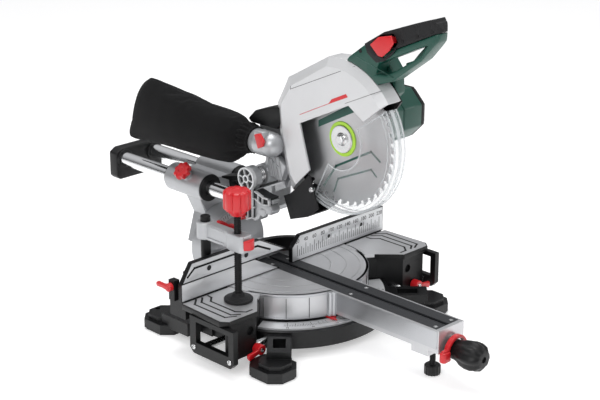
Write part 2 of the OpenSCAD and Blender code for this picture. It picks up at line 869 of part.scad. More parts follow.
module grip_rubber() color("#17181a") {
    difference() {
        intersection() {
            side_plate(concat(
                lifted(handle_split),
                lifted([[-321, 449], [-315, 459], [-304, 463], [-274, 453], [-218, 432], [-180, 408]])
            ), -rubber_half_w, rubber_half_w);
            handle_plan();
        }
        side_plate(
            lifted([[-195, 409], [-213.5, 425.8], [-239, 429], [-240, 418.3], [-215, 405.2], [-204.5, 403.2]]),
            -rubber_half_w - through, -3
        );
    }
}

module trigger() color("#c41f2b") {
    side_plate(trigger_outline, -rubber_half_w - 4, -8);
}

module chip_port() color("#c2c5c9") {
    x = -28;
    z = table_h + 211;
    difference() {
        bar_y(port_r, 10.5, 60, x, z);
        bar_y(port_r - 3, 13, 61, x, z);
    }
}

module return_spring() color("#6f7378") {
    turns = 4;
    wire_r = 1.3;
    for (i = [0:turns - 1]) translate([-25.5 - i * 3.2, hinge_y, hinge_z]) rotate([0, 90, 0])
        rotate_extrude($fn = 32) translate([12.5, 0]) circle(r = wire_r, $fn = 16);
}

module dust_bag() color("#1a1b1d") {
    x = -30;
    side_plate(lifted([
        [60.3, 188], [60.3, 236], [84, 246], [180, 262], [299, 271], [320, 256],
        [330, 225], [364, 146], [240, 150], [120, 158]
    ]), x - bag_w / 2, x + bag_w / 2);
}

module battery() color("#17181a") {
    block([36.5, 4, table_h + 190], [104, 98, table_h + 238]);
}

// The blade: a disc with gullets cut behind each tooth
module blade() color("#c9ccd0") {
    gullet_r = 3.4;
    difference() {
        bar_x(blade_r, -blade_t / 2, blade_t / 2, blade_y, blade_z, circle_fn);
        bar_x(bore_r + 0.02, -5, 5, blade_y, blade_z);
        for (i = [0:tooth_count - 1]) translate([0, blade_y, blade_z]) rotate([i * 360 / tooth_count, 0, 0])
            bar_x(gullet_r, -5, 5, 0, blade_r - 1, 16);
    }
}

module arbor() color("#a9adb1") {
    bar_x(spindle_r, 4, 33, blade_y, blade_z);
    bar_x(22, blade_t / 2, 6, blade_y, blade_z);
    bar_x(bore_r, -blade_t / 2, blade_t / 2, blade_y, blade_z);
    bar_x(21, -5, -blade_t / 2, blade_y, blade_z);
    bar_x(8, -10, -5, blade_y, blade_z, 6);
}

// The swinging guard: a right wall that hangs on a ring, a rim and a narrower left wall
module lower_guard() color([0.85, 0.88, 0.9, 0.45]) {
    half_w = 12;
    wall = 1.8;
    left_r = 46;
    ring_r1 = boss_r + 8;
    open_from = -63;
    open_to = 146;
    difference() {
        union() {
            difference() {
                bar_x(lower_guard_r, -half_w, half_w, blade_y, blade_z, circle_fn);
                bar_x(lower_guard_r - wall, wall - half_w, half_w - wall, blade_y, blade_z, circle_fn);
                bar_x(left_r, -half_w - through, 0, blade_y, blade_z);
                side_plate(
                    concat([[blade_y, blade_z]], arc(2 * lower_guard_r, open_from, open_to, 6, blade_y, blade_z)),
                    -half_w - through, half_w + through
                );
            }
            bar_x(ring_r1, half_w - wall - 0.2, half_w + 0.2, blade_y, blade_z);
        }
        bar_x(boss_r + run_gap, -half_w - through, 20, blade_y, blade_z);
    }
}

// ---- Clamp ----

module clamp_post() color("#1b1c1e") {
    bar_z(post_r, post_bore_z + 2, table_h + 122, -clamp_x, clamp_post_y);
}

module clamp_arm() color("#c2c5c9") {
    hub_r_rear = 14;
    front_half_w = 12;
    difference() {
        union() {
            bar_z(hub_r_rear, clamp_low, clamp_top, -clamp_x, clamp_post_y);
            block([-clamp_x - 8, clamp_screw_y, clamp_low + 5], [-clamp_x + 8, clamp_post_y, clamp_top - 3]);
            block(
                [-clamp_x - front_half_w, clamp_screw_y - 22, clamp_low],
                [-clamp_x + front_half_w, clamp_screw_y + 12, clamp_top]
            );
        }
        bar_z(post_r + 0.02, 0, 300, -clamp_x, clamp_post_y);
        bar_z(screw_r + run_gap, 0, 300, -clamp_x, clamp_screw_y);
        bar_y(4 + run_gap, clamp_screw_y - 30, clamp_screw_y - 8.5, -clamp_x, clamp_low + 14);
    }
}

module clamp_screw() color("#c41f2b") {
    knob_z0 = table_h + 142;
    bar_z(screw_r, table_h + 6.5, knob_z0 + 1, -clamp_x, clamp_screw_y);
    translate([-clamp_x, clamp_screw_y, knob_z0]) {
        cylinder(r1 = 12, r2 = clamp_knob_r, h = 12);
        translate([0, 0, 12]) cylinder(r = clamp_knob_r, h = 22);
        translate([0, 0, 34]) cylinder(r1 = clamp_knob_r, r2 = clamp_knob_r - 6, h = 7);
    }
}

module clamp_pad() color("#17181a") {
    difference() {
        union() {
            bar_z(23, table_h + 0.4, table_h + 5, -clamp_x, clamp_screw_y);
            bar_z(13, table_h + 4, table_h + 13, -clamp_x, clamp_screw_y);
        }
        bar_z(screw_r + run_gap, table_h + 6, table_h + 20, -clamp_x, clamp_screw_y);
    }
}

module clamp_button() color("#c41f2b") {
    z = clamp_low + 14;
    bar_y(4, clamp_screw_y - 28, clamp_screw_y - 12, -clamp_x, z);
    bar_y(8.5, clamp_screw_y - 33, clamp_screw_y - 26, -clamp_x, z);
}

base_frame();
foot_pads();
table_plate_left();
table_plate_right();
table_housing_left();
table_housing_right();
mitre_scale();
fence_left();
fence_right();
fence_bridge();
fence_guide();
fence_bolts();
extension_frame_left();
extension_rods_left();
extension_frame_right();
extension_rods_right();
extension_lock_left();
extension_lock_right();
fence_slider();
fence_lock();
turntable();
bevel_pedestal();
insert_plates();
mitre_pointer();
pivot_bolt();
mitre_grip();
mitre_latch();
arm_foot();
bevel_arm();
rail_seals();
bevel_bolt();
bevel_lever();
slide_knob();
rails();
rear_cap();
head_bracket();
head_pin();
rib_disc();
lock_pin();
upper_guard();
guard_inner();
chip_deflector();
head_casting();
motor_housing();
motor_cap();
handle_shell();
grip_rubber();
chip_port();
return_spring();
dust_bag();
trigger();
battery();
blade();
arbor();
lower_guard();
clamp_post();
clamp_arm();
clamp_screw();
clamp_pad();
clamp_button();
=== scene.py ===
import math

import bmesh
import bpy
from mathutils import Matrix, Vector
from mathutils.bvhtree import BVHTree


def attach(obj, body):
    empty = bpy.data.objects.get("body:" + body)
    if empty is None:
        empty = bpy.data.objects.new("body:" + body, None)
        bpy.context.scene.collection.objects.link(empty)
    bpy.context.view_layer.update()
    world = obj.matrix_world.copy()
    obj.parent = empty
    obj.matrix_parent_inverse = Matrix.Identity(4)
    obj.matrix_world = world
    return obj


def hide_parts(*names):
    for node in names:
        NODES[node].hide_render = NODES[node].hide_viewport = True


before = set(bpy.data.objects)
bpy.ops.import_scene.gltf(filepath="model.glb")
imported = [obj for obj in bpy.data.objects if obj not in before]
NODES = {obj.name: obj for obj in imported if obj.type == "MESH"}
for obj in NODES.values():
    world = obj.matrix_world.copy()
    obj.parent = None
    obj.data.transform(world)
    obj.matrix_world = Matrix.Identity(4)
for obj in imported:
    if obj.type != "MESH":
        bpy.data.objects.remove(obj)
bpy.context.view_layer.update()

# Lengths in this script are in millimetres until a mesh is made. T is the height of the table.
T = 90.0
BLADE_Y, BLADE_Z = -122.0, T + 244.0
HINGE_Y, HINGE_Z = 40.0, T + 153.0
RAIL_X, RAIL_Z = 34, T + 104.0


# ---------------------------------------------------------------- materials

def node(tree, kind, **values):
    made = tree.nodes.new("ShaderNode" + kind)
    for key, value in values.items():
        if hasattr(made, key):
            setattr(made, key, value)
        else:
            made.inputs[key.replace("_", " ")].default_value = value
    return made


def material(name, color, rough, metallic=0.0, grain=900.0, bump=0.15, vary=0.10, stretch=(1, 1, 1), edge=0.6,
             wear=None, rough_vary=0.10, pattern=None, **sockets):
    """A procedural finish: cloudy colour, fine grain in bump and roughness, rounded edges and worn edges."""
    made = bpy.data.materials.new(name)
    made.use_nodes = True
    tree = made.node_tree
    tree.nodes.clear()
    link = tree.links.new
    out = node(tree, "OutputMaterial")
    shader = node(tree, "BsdfPrincipled", Metallic=metallic)
    link(shader.outputs[0], out.inputs[0])
    for key, value in sockets.items():
        shader.inputs[key.replace("_", " ")].default_value = value
    coord = node(tree, "TexCoord")
    mapping = node(tree, "Mapping", Scale=stretch)
    link(coord.outputs["Object"], mapping.inputs[0])
    fine = node(tree, "TexNoise", Scale=grain, Detail=4.0)
    link(mapping.outputs[0], fine.inputs["Vector"])
    cloud = node(tree, "TexNoise", Scale=14.0, Detail=5.0, Roughness=0.6)
    link(coord.outputs["Object"], cloud.inputs["Vector"])
    tone = node(tree, "Mix", data_type="RGBA")
    link(cloud.outputs["Fac"], tone.inputs[0])
    tone.inputs[6].default_value = [c * (1 - vary) for c in color] + [1]
    tone.inputs[7].default_value = [min(1, c * (1 + vary)) for c in color] + [1]
    shade = tone.outputs[2]
    height = fine.outputs["Fac"]
    if pattern:
        height = pattern(tree, coord)
    round_edge = node(tree, "Bevel", samples=3, Radius=edge / 1000)
    if wear:
        place = node(tree, "NewGeometry")
        dot = node(tree, "VectorMath", operation="DOT_PRODUCT")
        link(place.outputs["Normal"], dot.inputs[0])
        link(round_edge.outputs[0], dot.inputs[1])
        mask = node(tree, "MapRange")
        for socket, value in zip(mask.inputs[1:5], (0.985, 0.90, 0.0, 0.55)):
            socket.default_value = value
        link(dot.outputs["Value"], mask.inputs[0])
        worn = node(tree, "Mix", data_type="RGBA")
        worn.inputs[7].default_value = list(wear) + [1]
        link(mask.outputs[0], worn.inputs[0])
        link(shade, worn.inputs[6])
        shade = worn.outputs[2]
    link(shade, shader.inputs["Base Color"])
    dull = node(tree, "MapRange")
    for socket, value in zip(dull.inputs[1:5], (0.3, 0.7, rough * (1 - rough_vary),
                                                rough * (1 + rough_vary))):
        socket.default_value = value
    link(fine.outputs["Fac"], dull.inputs[0])
    link(dull.outputs[0], shader.inputs["Roughness"])
    relief = node(tree, "Bump", Strength=bump, Distance=0.0006)
    link(height, relief.inputs["Height"])
    link(round_edge.outputs[0], relief.inputs["Normal"])
    link(relief.outputs[0], shader.inputs["Normal"])
    if "Anisotropic" in sockets:
        turned = node(tree, "Tangent", direction_type="RADIAL", axis="X")
        link(turned.outputs[0], shader.inputs["Tangent"])
    return made


def weave(tree, coord):
    """Crossing threads of a plain woven cloth."""
    waves = []
    for direction in ("Y", "Z"):
        wave = node(tree, "TexWave", bands_direction=direction, Scale=420.0, Distortion=0.6)
        wave.inputs["Detail Scale"].default_value = 30.0
        tree.links.new(coord.outputs["Object"], wave.inputs["Vector"])
        waves.append(wave.outputs["Fac"])
    both = node(tree, "Math", operation="MULTIPLY")
    tree.links.new(waves[0], both.inputs[0])
    tree.links.new(waves[1], both.inputs[1])
    return both.outputs[0]


def ground_rings(tree, coord):
    """Fine rings that grinding leaves round the blade's centre."""
    move = node(tree, "Mapping", Location=(0, -BLADE_Y / 1000, -BLADE_Z / 1000))
    tree.links.new(coord.outputs["Object"], move.inputs[0])
    wave = node(tree, "TexWave", wave_type="RINGS", rings_direction="X", Scale=260.0, Distortion=1.5)
    tree.links.new(move.outputs[0], wave.inputs["Vector"])
    return wave.outputs["Fac"]


SILVER = (0.47, 0.48, 0.495)
BRIGHT = (0.80, 0.80, 0.81)
M = {
    "cast": material("cast_silver", SILVER, 0.36, 0.55, grain=1100, bump=0.22, wear=BRIGHT),
    "table": material("table_silver", (0.60, 0.605, 0.62), 0.32, 0.65, grain=420, bump=0.10,
                      stretch=(1, 14, 1), wear=(0.9, 0.9, 0.9)),
    "side": material("machined_silver", (0.52, 0.53, 0.55), 0.30, 0.8, grain=380, bump=0.08,
                     stretch=(1, 1, 10)),
    "guard": material("guard_silver", (0.66, 0.665, 0.675), 0.32, 0.25, grain=1400, bump=0.10, vary=0.05,
                      wear=(0.93, 0.93, 0.93), edge=0.9),
    "scale": material("scale_plate", (0.68, 0.69, 0.705), 0.33, 0.4, grain=500, bump=0.06, vary=0.05,
                      stretch=(14, 1, 1)),
    # Black for printed marks and black parts, and painted shade inside the handle's screw holes.
    "ink_and_hole_shade": material("black_ink_and_hole_shade", (0.004, 0.004, 0.0045), 0.5, grain=900, bump=0.05, Specular_IOR_Level=0.3),
    "plastic": material("black_plastic", (0.0045, 0.0047, 0.0052), 0.40, grain=1500, bump=0.32,
                        wear=(0.030, 0.030, 0.032), Specular_IOR_Level=0.34),
    "casting": material("black_casting", (0.0045, 0.0048, 0.0053), 0.36, grain=900, bump=0.35,
                        wear=(0.030, 0.031, 0.034), edge=1.2, Specular_IOR_Level=0.36),
    "rubber": material("soft_rubber", (0.0075, 0.0078, 0.009), 0.55, grain=1700, bump=0.45, edge=1.0,
                       Sheen_Weight=0.05, Sheen_Roughness=0.4, Specular_IOR_Level=0.35),
    "insert": material("insert_plastic", (0.026, 0.028, 0.032), 0.5, grain=700, bump=0.3, stretch=(1, 5, 1)),
    "green": material("green_plastic", (0.006, 0.066, 0.046), 0.34, grain=1300, bump=0.28,
                      wear=(0.05, 0.16, 0.125), edge=1.2),
    "paint": material("green_print", (0.004, 0.075, 0.055), 0.4, grain=900, bump=0.05),
    "red": material("red_plastic", (0.62, 0.012, 0.018), 0.32, grain=1200, bump=0.15, wear=(0.78, 0.08, 0.08),
                    edge=0.8, Coat_Weight=0.15),
    "lime": material("lime_ring", (0.42, 0.72, 0.05), 0.38, grain=900, bump=0.08),
    "steel": material("bright_steel", (0.62, 0.625, 0.63), 0.26, 1.0, grain=700, bump=0.10,
                      wear=(0.85, 0.85, 0.86)),
    "chrome": material("rail_chrome", (0.80, 0.81, 0.82), 0.16, 1.0, grain=300, bump=0.03,
                       stretch=(1, 0.05, 1)),
    "blade": material("ground_steel", (0.50, 0.505, 0.515), 0.34, 1.0, grain=900, bump=0.12,
                      pattern=ground_rings,
                      Anisotropic=0.75),
    "carbide": material("carbide", (0.72, 0.73, 0.74), 0.25, 0.9, grain=900, bump=0.1),
    "clear": material("clear_plastic", (0.72, 0.75, 0.77), 0.08, grain=90, bump=0.03, edge=0.3, vary=0.02,
                      Alpha=0.11, Coat_Weight=0.5),
    # Whiter, more opaque clear plastic: painted highlight for the light that the guard's clear edges catch.
    "rim_highlight": material("clear_rim_highlight", (0.76, 0.79, 0.81), 0.12, grain=90, bump=0.05, edge=0.3, vary=0.02,
                      Alpha=0.45, Coat_Weight=0.6),
    "cloth": material("bag_cloth", (0.0042, 0.0042, 0.0047), 0.80, grain=1500, bump=0.6, vary=0.25, edge=0.2,
                      pattern=weave, Sheen_Weight=0.03, Sheen_Roughness=0.5, Specular_IOR_Level=0.16),
    "thread": material("seam_thread", (0.011, 0.011, 0.012), 0.7, grain=2500, bump=0.5,
                       Specular_IOR_Level=0.25),
    # Dark grey for seams and joints, and painted shade in the recesses of the carriage bracket.
    "dark": material("dark_joint_and_pocket_shade", (0.020, 0.021, 0.023), 0.5, 0.3, grain=900, bump=0.25),
}


# ---------------------------------------------------------------- shapes

def flat(axis, u, v, w):
    """A point from plate coordinates: u and v lie in the plate, w is across it."""
    if axis == "x":
        return Vector((w, u, v)) / 1000
    if axis == "y":
        return Vector((u, w, v)) / 1000
    return Vector((u, v, w)) / 1000


def up(points):
    """Points given above the table, lifted to the height above the floor."""
    return [(u, v + T) for u, v in points]


def polar(r, angle, u=0, v=0):
    """The point at r from (u, v), with the angle in degrees."""
    a = math.radians(angle)
    return u + r * math.cos(a), v + r * math.sin(a)


def placed(spot, angle, axis):
    """A move to spot after a turn about the axis, in degrees."""
    return Matrix.Translation(Vector(spot) / 1000) @ Matrix.Rotation(math.radians(angle), 4, axis)


def arc(cu, cv, r, a0, a1, steps):
    return [polar(r, a0 + (a1 - a0) * k / steps, cu, cv) for k in range(steps + 1)]


def add(name, data):
    """A new object in the scene."""
    made = bpy.data.objects.new(name, data)
    bpy.context.scene.collection.objects.link(made)
    return made


class Shape:
    
    """Collects closed solids into one mesh."""

    def __init__(self):
        self.mesh = bmesh.new()

    def merge(self, part, matrix=None):
        if matrix:
            part.transform(matrix)
        bmesh.ops.recalc_face_normals(part, faces=part.faces)
        data = bpy.data.meshes.new("part")
        part.to_mesh(data)
        part.free()
        self.mesh.from_mesh(data)
        bpy.data.meshes.remove(data)
        return self

    def plate(self, axis, outline, low, high, bevel=0.5, holes=(), steps=2, matrix=None):
        part = bmesh.new()
        edges = []
        for loop in [outline, *holes]:
            verts = [part.verts.new(flat(axis, u, v, low)) for u, v in loop]
            edges += [part.edges.new((verts[k - 1], verts[k])) for k in range(len(verts))]
        if holes:
            bmesh.ops.triangle_fill(part, use_beauty=True, edges=edges)
        else:
            part.faces.new(verts)
        grown = bmesh.ops.extrude_face_region(part, geom=part.faces[:])
        moved = [g for g in grown["geom"] if isinstance(g, bmesh.types.BMVert)]
        bmesh.ops.translate(part, verts=moved, vec=flat(axis, 0, 0, high - low))
        bmesh.ops.recalc_face_normals(part, faces=part.faces)
        if bevel:
            sharp = [e for e in part.edges if len(e.link_faces) == 2 and e.calc_face_angle() > 0.35]
            bmesh.ops.bevel(part, geom=sharp, offset=bevel / 1000, segments=steps, affect="EDGES",
                            profile=0.5, clamp_overlap=True)
        return self.merge(part, matrix)

    def box(self, low, high, bevel=0.5, matrix=None):
        outline = [(low[0], low[1]), (high[0], low[1]), (high[0], high[1]), (low[0], high[1])]
        return self.plate("z", outline, low[2], high[2], bevel, matrix=matrix)

    def lathe(self, axis, centre, profile, sides=64, flutes=0, depth=0.0, closed=False, a0=0, a1=360,
              matrix=None,
              narrow=1):
        """Turns a profile of (height along the axis, radius, how much the flutes cut it)."""
        part = bmesh.new()
        full = a1 - a0 >= 360
        count = sides if full else sides + 1
        rows = []
        for k in range(count):
            a = math.radians(a0 + (a1 - a0) * k / sides)
            row = []
            for h, r, *cut in profile:
                if flutes:
                    r -= depth * (cut[0] if cut else 1) * (0.5 - 0.5 * math.cos(flutes * a)) ** narrow
                p, q = r * math.cos(a), r * math.sin(a)
                spot = {"x": (h, p, q), "y": (p, h, q), "z": (p, q, h)}[axis]
                row.append(part.verts.new((Vector(centre) + Vector(spot)) / 1000))
            rows.append(row)
        n = len(profile)
        for k in range(sides):
            a_row, b_row = rows[k], rows[(k + 1) % count]
            for i in range(n if closed else n - 1):
                j = (i + 1) % n
                part.faces.new((a_row[i], a_row[j], b_row[j], b_row[i]))
        if not full:
            part.faces.new(rows[0])
            part.faces.new(rows[-1])
        elif not closed:
            for i in (0, n - 1):
                if profile[i][1] > 0:
                    part.faces.new([row[i] for row in rows])
        bmesh.ops.remove_doubles(part, verts=part.verts, dist=1e-7)
        return self.merge(part, matrix)

    def rod(self, a, b, r, sides=24, bevel=0.4):
        """A round bar from a to b with small chamfers."""
        a, b = Vector(a), Vector(b)
        length = (b - a).length
        turn = (b - a).to_track_quat("Z", "Y").to_matrix().to_4x4()
        profile = [(0, r - bevel), (bevel, r), (length - bevel, r), (length, r - bevel)]
        return self.lathe("z", (0, 0, 0), profile, sides, matrix=Matrix.Translation(a / 1000) @ turn)

    def ring(self, axis, centre, r0, r1, low, high, sides=64, bevel=0.4, a0=0, a1=360):
        profile = [(low, r0), (low, r1 - bevel), (low + bevel, r1), (high - bevel, r1), (high, r1 - bevel),
                   (high, r0)]
        return self.lathe(axis, centre, profile, sides, closed=True, a0=a0, a1=a1)

    def text(self, words, size, matrix, depth=0.12):
        data = bpy.data.curves.new("words", "FONT")
        data.body = words
        data.size = size / 1000
        data.extrude = depth / 1000
        data.align_x = "CENTER"
        holder = add("words", data)
        made = holder.evaluated_get(bpy.context.evaluated_depsgraph_get())
        mesh = bpy.data.meshes.new_from_object(made)
        mesh.transform(matrix)
        self.mesh.from_mesh(mesh)
        bpy.data.meshes.remove(mesh)
        bpy.data.objects.remove(holder)
        bpy.data.curves.remove(data)
        return self

    def done(self, name, body, slot, look, replaces=(), angle=38):
        data = bpy.data.meshes.new(name)
        self.mesh.to_mesh(data)
        self.mesh.free()
        made = add(name, data)
        data.materials.append(M[look])
        data.polygons.foreach_set("use_smooth", [True] * len(data.polygons))
        data.set_sharp_from_angle(angle=math.radians(angle))
        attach(made, body)
        if replaces:
            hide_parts(*replaces)
        return made


def screw(shape, axis, centre, r, out, hexagon=True):
    """A button-head screw whose head stands out along the axis, with a socket in it."""
    sign = 1 if out > 0 else -1
    h = abs(out)
    profile = [(0, r), (sign * h * 0.45, r), (sign * h * 0.85, r * 0.82), (sign * h, r * 0.55),
               (sign * h, r * 0.42), (sign * h * 0.45, r * 0.40), (sign * h * 0.45, 0)]
    shape.lathe(axis, centre, profile, 30 if hexagon else 32)


# The CAD pieces that are shown as they are. The others are replaced further down.
NODE_LOOKS = {
    "casting": "base_frame fence_bridge fence_left fence_right fence_slider",
    "rubber": "foot_pads chip_deflector",
    "table": "table_plate_left table_plate_right turntable",
    "plastic": "table_housing_left table_housing_right fence_guide extension_frame_left "
               "extension_frame_right guard_inner",
    "scale": "mitre_scale",
    "steel": "fence_bolts pivot_bolt bevel_bolt head_pin return_spring extension_rods_left "
             "extension_rods_right",
    "red": "mitre_pointer lock_pin",
    "cast": "bevel_pedestal bevel_arm head_bracket head_casting",
    "insert": "insert_plates",
    "chrome": "rails",
    "guard": "upper_guard",
}
for look, names in NODE_LOOKS.items():
    for name in names.split():
        mesh = NODES[name].data
        mesh.materials.clear()
        mesh.materials.append(M[look])
        mesh.polygons.foreach_set("use_smooth", [False] * len(mesh.polygons))


def strip(shape, axis, points, width, low, high, bevel=0.0):
    """A thin flat line along a row of points."""
    for (u0, v0), (u1, v1) in zip(points, points[1:]):
        long = math.hypot(u1 - u0, v1 - v0)
        du, dv = (u1 - u0) / long * width / 2, (v1 - v0) / long * width / 2
        shape.plate(axis, [(u0 - du + dv, v0 - dv - du), (u1 + du + dv, v1 + dv - du),
                           (u1 + du - dv, v1 + dv + du), (u0 - du - dv, v0 - dv + du)], low, high, bevel)
    return shape


# ---------------------------------------------------------------- upper guard and blade

lines = Shape()
strip(lines, "x", up([(-27.6, 314), (-27.6, 309.5), (-136, 358.7)]), 0.7, -22.15, -21.9)
lines.rod((-22.0, -136, T + 358.7), (-14.7, -159, T + 369.2), 0.35, 8, 0.1)
strip(lines, "x", up([(-146, 310), (-206, 338)]), 0.6, -22.15, -21.9)
lines.rod((-22.0, -206, T + 338), (-14.7, -214, T + 342), 0.35, 8, 0.1)
lines.done("guard_seams", "head", "black_plastic", "dark")

stripe = Shape()
strip(stripe, "x", up([(-48.9, 272.4), (-111, 302.6)]), 0.9, -22.15, -21.9)
stripe.plate("x", up([(-109.9, 301.4), (-152, 321.1), (-147.7, 325.4), (-117.7, 311.1)]), -22.15, -21.9, 0)
stripe.done("guard_stripe", "head", "red_plastic", "red")


def blade_outline(teeth, tip_r, root_r):
    points = []
    for k in range(teeth):
        a = 360.0 * k / teeth
        step = 360.0 / teeth
        for da, r in ((0.0, tip_r), (0.10, root_r + 1.2), (0.22, root_r), (0.36, root_r + 0.8),
                      (0.5, root_r + 4.2),
                      (0.80, tip_r - 2.0), (0.97, tip_r - 0.9)):
            points.append(polar(r, a + da * step, BLADE_Y, BLADE_Z))
    return points


TEETH, TIP_R, ROOT_R, BORE_R = 40, 108, 99.5, 15
disc = Shape()
disc.plate("x", blade_outline(TEETH, TIP_R, ROOT_R), -0.8, 0.8, 0.12, steps=1,
           holes=[arc(BLADE_Y, BLADE_Z, BORE_R, 0, 348.75, 31)])
disc.done("saw_disc", "saw_blade", "blade_steel", "blade", ["blade"])
tips = Shape()
for k in range(TEETH):
    turn = placed((0, BLADE_Y, BLADE_Z), 360 * k / TEETH, "X")
    tips.box((-1.1, 103.4, 0.05), (1.1, 107.8, 1.7), 0.15, turn)
tips.done("saw_tips", "saw_blade", "blade_steel", "carbide")
prints = Shape()
prints.plate("x", up([(-69, 263.1), (-140.8, 305.0), (-147.4, 292.8), (-69, 252)]), -1.05, -0.75, 0)
strip(prints, "x", up([(-82.2, 158.8), (-108.2, 196.7), (-181.8, 236.5), (-200, 225)]), 3.6, -1.05, -0.75)
strip(prints, "x", up([(-104.6, 154.6), (-112.8, 176.9), (-182.5, 208.2), (-193, 199.6)]), 3.2, -1.05, -0.75)
prints.done("blade_prints", "saw_blade", "green_plastic", "paint")
ring = Shape()
ring.ring("x", (0, BLADE_Y, BLADE_Z), 21.5, 28, -2.2, -0.7, 72, 0.5)
ring.done("blade_ring", "saw_blade", "blade_steel", "lime")
flange = Shape()
flange.lathe("x", (0, BLADE_Y, BLADE_Z), [(-0.7, 22.5), (-3.2, 22.5), (-4.4, 21.6), (-4.8, 19), (-3.4, 13),
                                          (-3.6, 10.5),
                                         (-5.4, 9.4), (-5.8, 8.6), (-5.8, 0)], 72)
flange.lathe("x", (0, BLADE_Y, BLADE_Z), [(-4.5, 7.6), (-9.6, 7.6), (-10.4, 6.6), (-10.4, 0)], 6)
flange.lathe("x", (0, BLADE_Y, BLADE_Z), [(0.8, 21), (5.2, 21), (6, 20), (6, 8.2), (32, 8.2), (32, 0)], 64)
flange.done("blade_flanges", "saw_blade", "steel", "steel", ["arbor"])

# The clear swinging guard, from the edge in front of the blade down and round to its rear edge
FRONT_A, REAR_A = 146, 297
clear = Shape()
centre = (0, BLADE_Y, BLADE_Z)
clear.lathe("x", centre, [(-12, 47), (-12, 118), (-11.2, 119), (11.2, 119), (12, 118), (12, 36), (10.6, 36),
                          (10.6, 117.4), (-10.6, 117.4), (-10.6, 47)], 60, closed=True, a0=FRONT_A, a1=REAR_A)
clear.ring("x", centre, 30.05, 38, 10.2, 12.2, 64, 0.3)
clear.done("clear_guard", "swing_guard", "clear_plastic", "clear", ["lower_guard"])
# Moulded rims and ridges of the clear guard, in a whiter, more opaque plastic that paints the highlight its
# clear edges catch.
rims = Shape()
for r0, r1, x0, x1 in ((115.6, 119, -12.0, -10.4), (104, 105.2, -12.6, -12.0), (110.5, 111.6, -12.6, -12.0),
                       (47, 49, -12.4, -10.6), (117.2, 119, 10.4, 12.0), (117.6, 119, -3, 3)):
    rims.lathe("x", centre, [(x0, r0), (x0, r1), (x1, r1), (x1, r0)], 60, closed=True, a0=FRONT_A, a1=REAR_A)
for a in (FRONT_A, REAR_A - 1.2):
    for x0, x1 in ((-12.0, -10.4), (10.4, 12.0)):
        rims.lathe("x", centre, [(x0, 47), (x0, 119), (x1, 119), (x1, 47)], 2, closed=True, a0=a, a1=a + 1.2)
rims.done("clear_rims", "swing_guard", "clear_plastic", "rim_highlight")

bolt = Shape()
screw(bolt, "x", (-26, -79, T + 156), 4.5, -3.2)
bolt.rod((-26.5, -79, T + 156), (-20, -79, T + 156), 2.6, 16)
bolt.done("deflector_bolt", "head", "steel", "steel")

# ---------------------------------------------------------------- motor, casting and port

MOTOR = (0, -136, T + 269)
motor = Shape()


def octagon(r):
    return [polar(r, 22.5 + 45 * k, MOTOR[1], MOTOR[2]) for k in range(8)]


motor.plate("x", octagon(43.6), 41, 79, 2.2, steps=3)
motor.plate("x", octagon(44.0), 79.8, 122, 2.2, steps=3)
motor.plate("x", octagon(42.2), 70, 90, 0)
for x in (50, 56, 62):
    for a in (90, 135):
        turn = placed((x, *polar(40.4, a, MOTOR[1], MOTOR[2])), a, "X")
        motor.box((-1.4, -1.0, -12), (1.4, 0.9, 12), 0.4, turn)
motor.done("motor_shell", "head", "green_plastic", "green", ["motor_housing"])
cap = Shape()
cap.plate("x", octagon(43.2), 122, 129, 1.6, steps=3)
cap.plate("x", octagon(39.5), 126, 134.9, 3.2, steps=3)
for k in range(-3, 4):
    cap.box((133.6, MOTOR[1] - 22 + abs(k) * 1.5, MOTOR[2] + k * 8 - 1.3),
            (135.0, MOTOR[1] + 22 - abs(k) * 1.5, MOTOR[2] + k * 8 + 1.3), 0.4)
cap.done("motor_end", "head", "black_plastic", "plastic", ["motor_cap"])

port = Shape()
PORT = (-28, 0, T + 211)
port.lathe("y", PORT, [(10.5, 16), (10.5, 19.5), (12.5, 20.8), (30, 20.8), (31, 21), (34, 21), (35, 20.2),
                       (60, 19.6),
                       (60, 17.6), (13, 17.6), (13, 16)], 64, closed=True)
port.lathe("y", PORT, [(10.5, 20.6), (5, 20), (-2, 17), (-8, 11), (-10, 0)], 64)
port.box((-49, 8, T + 224), (-34, 30, T + 236), 2.5)
port.plate("x", up([(6, 190), (30, 190), (36, 168), (30, 150), (-4, 150), (-12, 176)]), -20, -8, 2.0, steps=3)
for k in range(4):
    strip(port, "x", up([(2 + 8 * k, 190 - 2 * k), (-6 + 8 * k, 156)]), 1.8, -22.4, -19, 0.5)
strip(port, "x", up([(30, 188), (-2, 172)]), 1.6, -22.2, -19, 0.5)
port.done("port_casting", "head", "cast_aluminium", "cast", ["chip_port"])
tab = Shape()
tab.plate("x", up([(25, 230), (12, 234.5), (3, 223), (5.5, 213.5), (17, 208)]), -52.5, -47.5, 1.4, steps=3)
tab.done("port_tab", "head", "red_plastic", "red")
shield = Shape()
shield.plate("x", up([(10, 234), (70, 234), (76, 240), (60, 256), (20, 270), (-6, 274), (-10, 256)]), -18, 16,
             3.0, steps=3)
shield.done("rear_shield", "head", "black_plastic", "plastic")

# ---------------------------------------------------------------- dust bag

BAG_X, BAG_SIDES = -30, 32
# Metres from here: how far the cloth may swell, where its held mouth ends, and the box it stays in
PUFF, MOUTH_END, BAG_VOXEL = 0.010, 0.068, 0.0048
BAG_LOW, BAG_HIGH = (-0.0695, 0.0590, T / 1000 + 0.1425), (0.0095, 0.3680, T / 1000 + 0.2745)


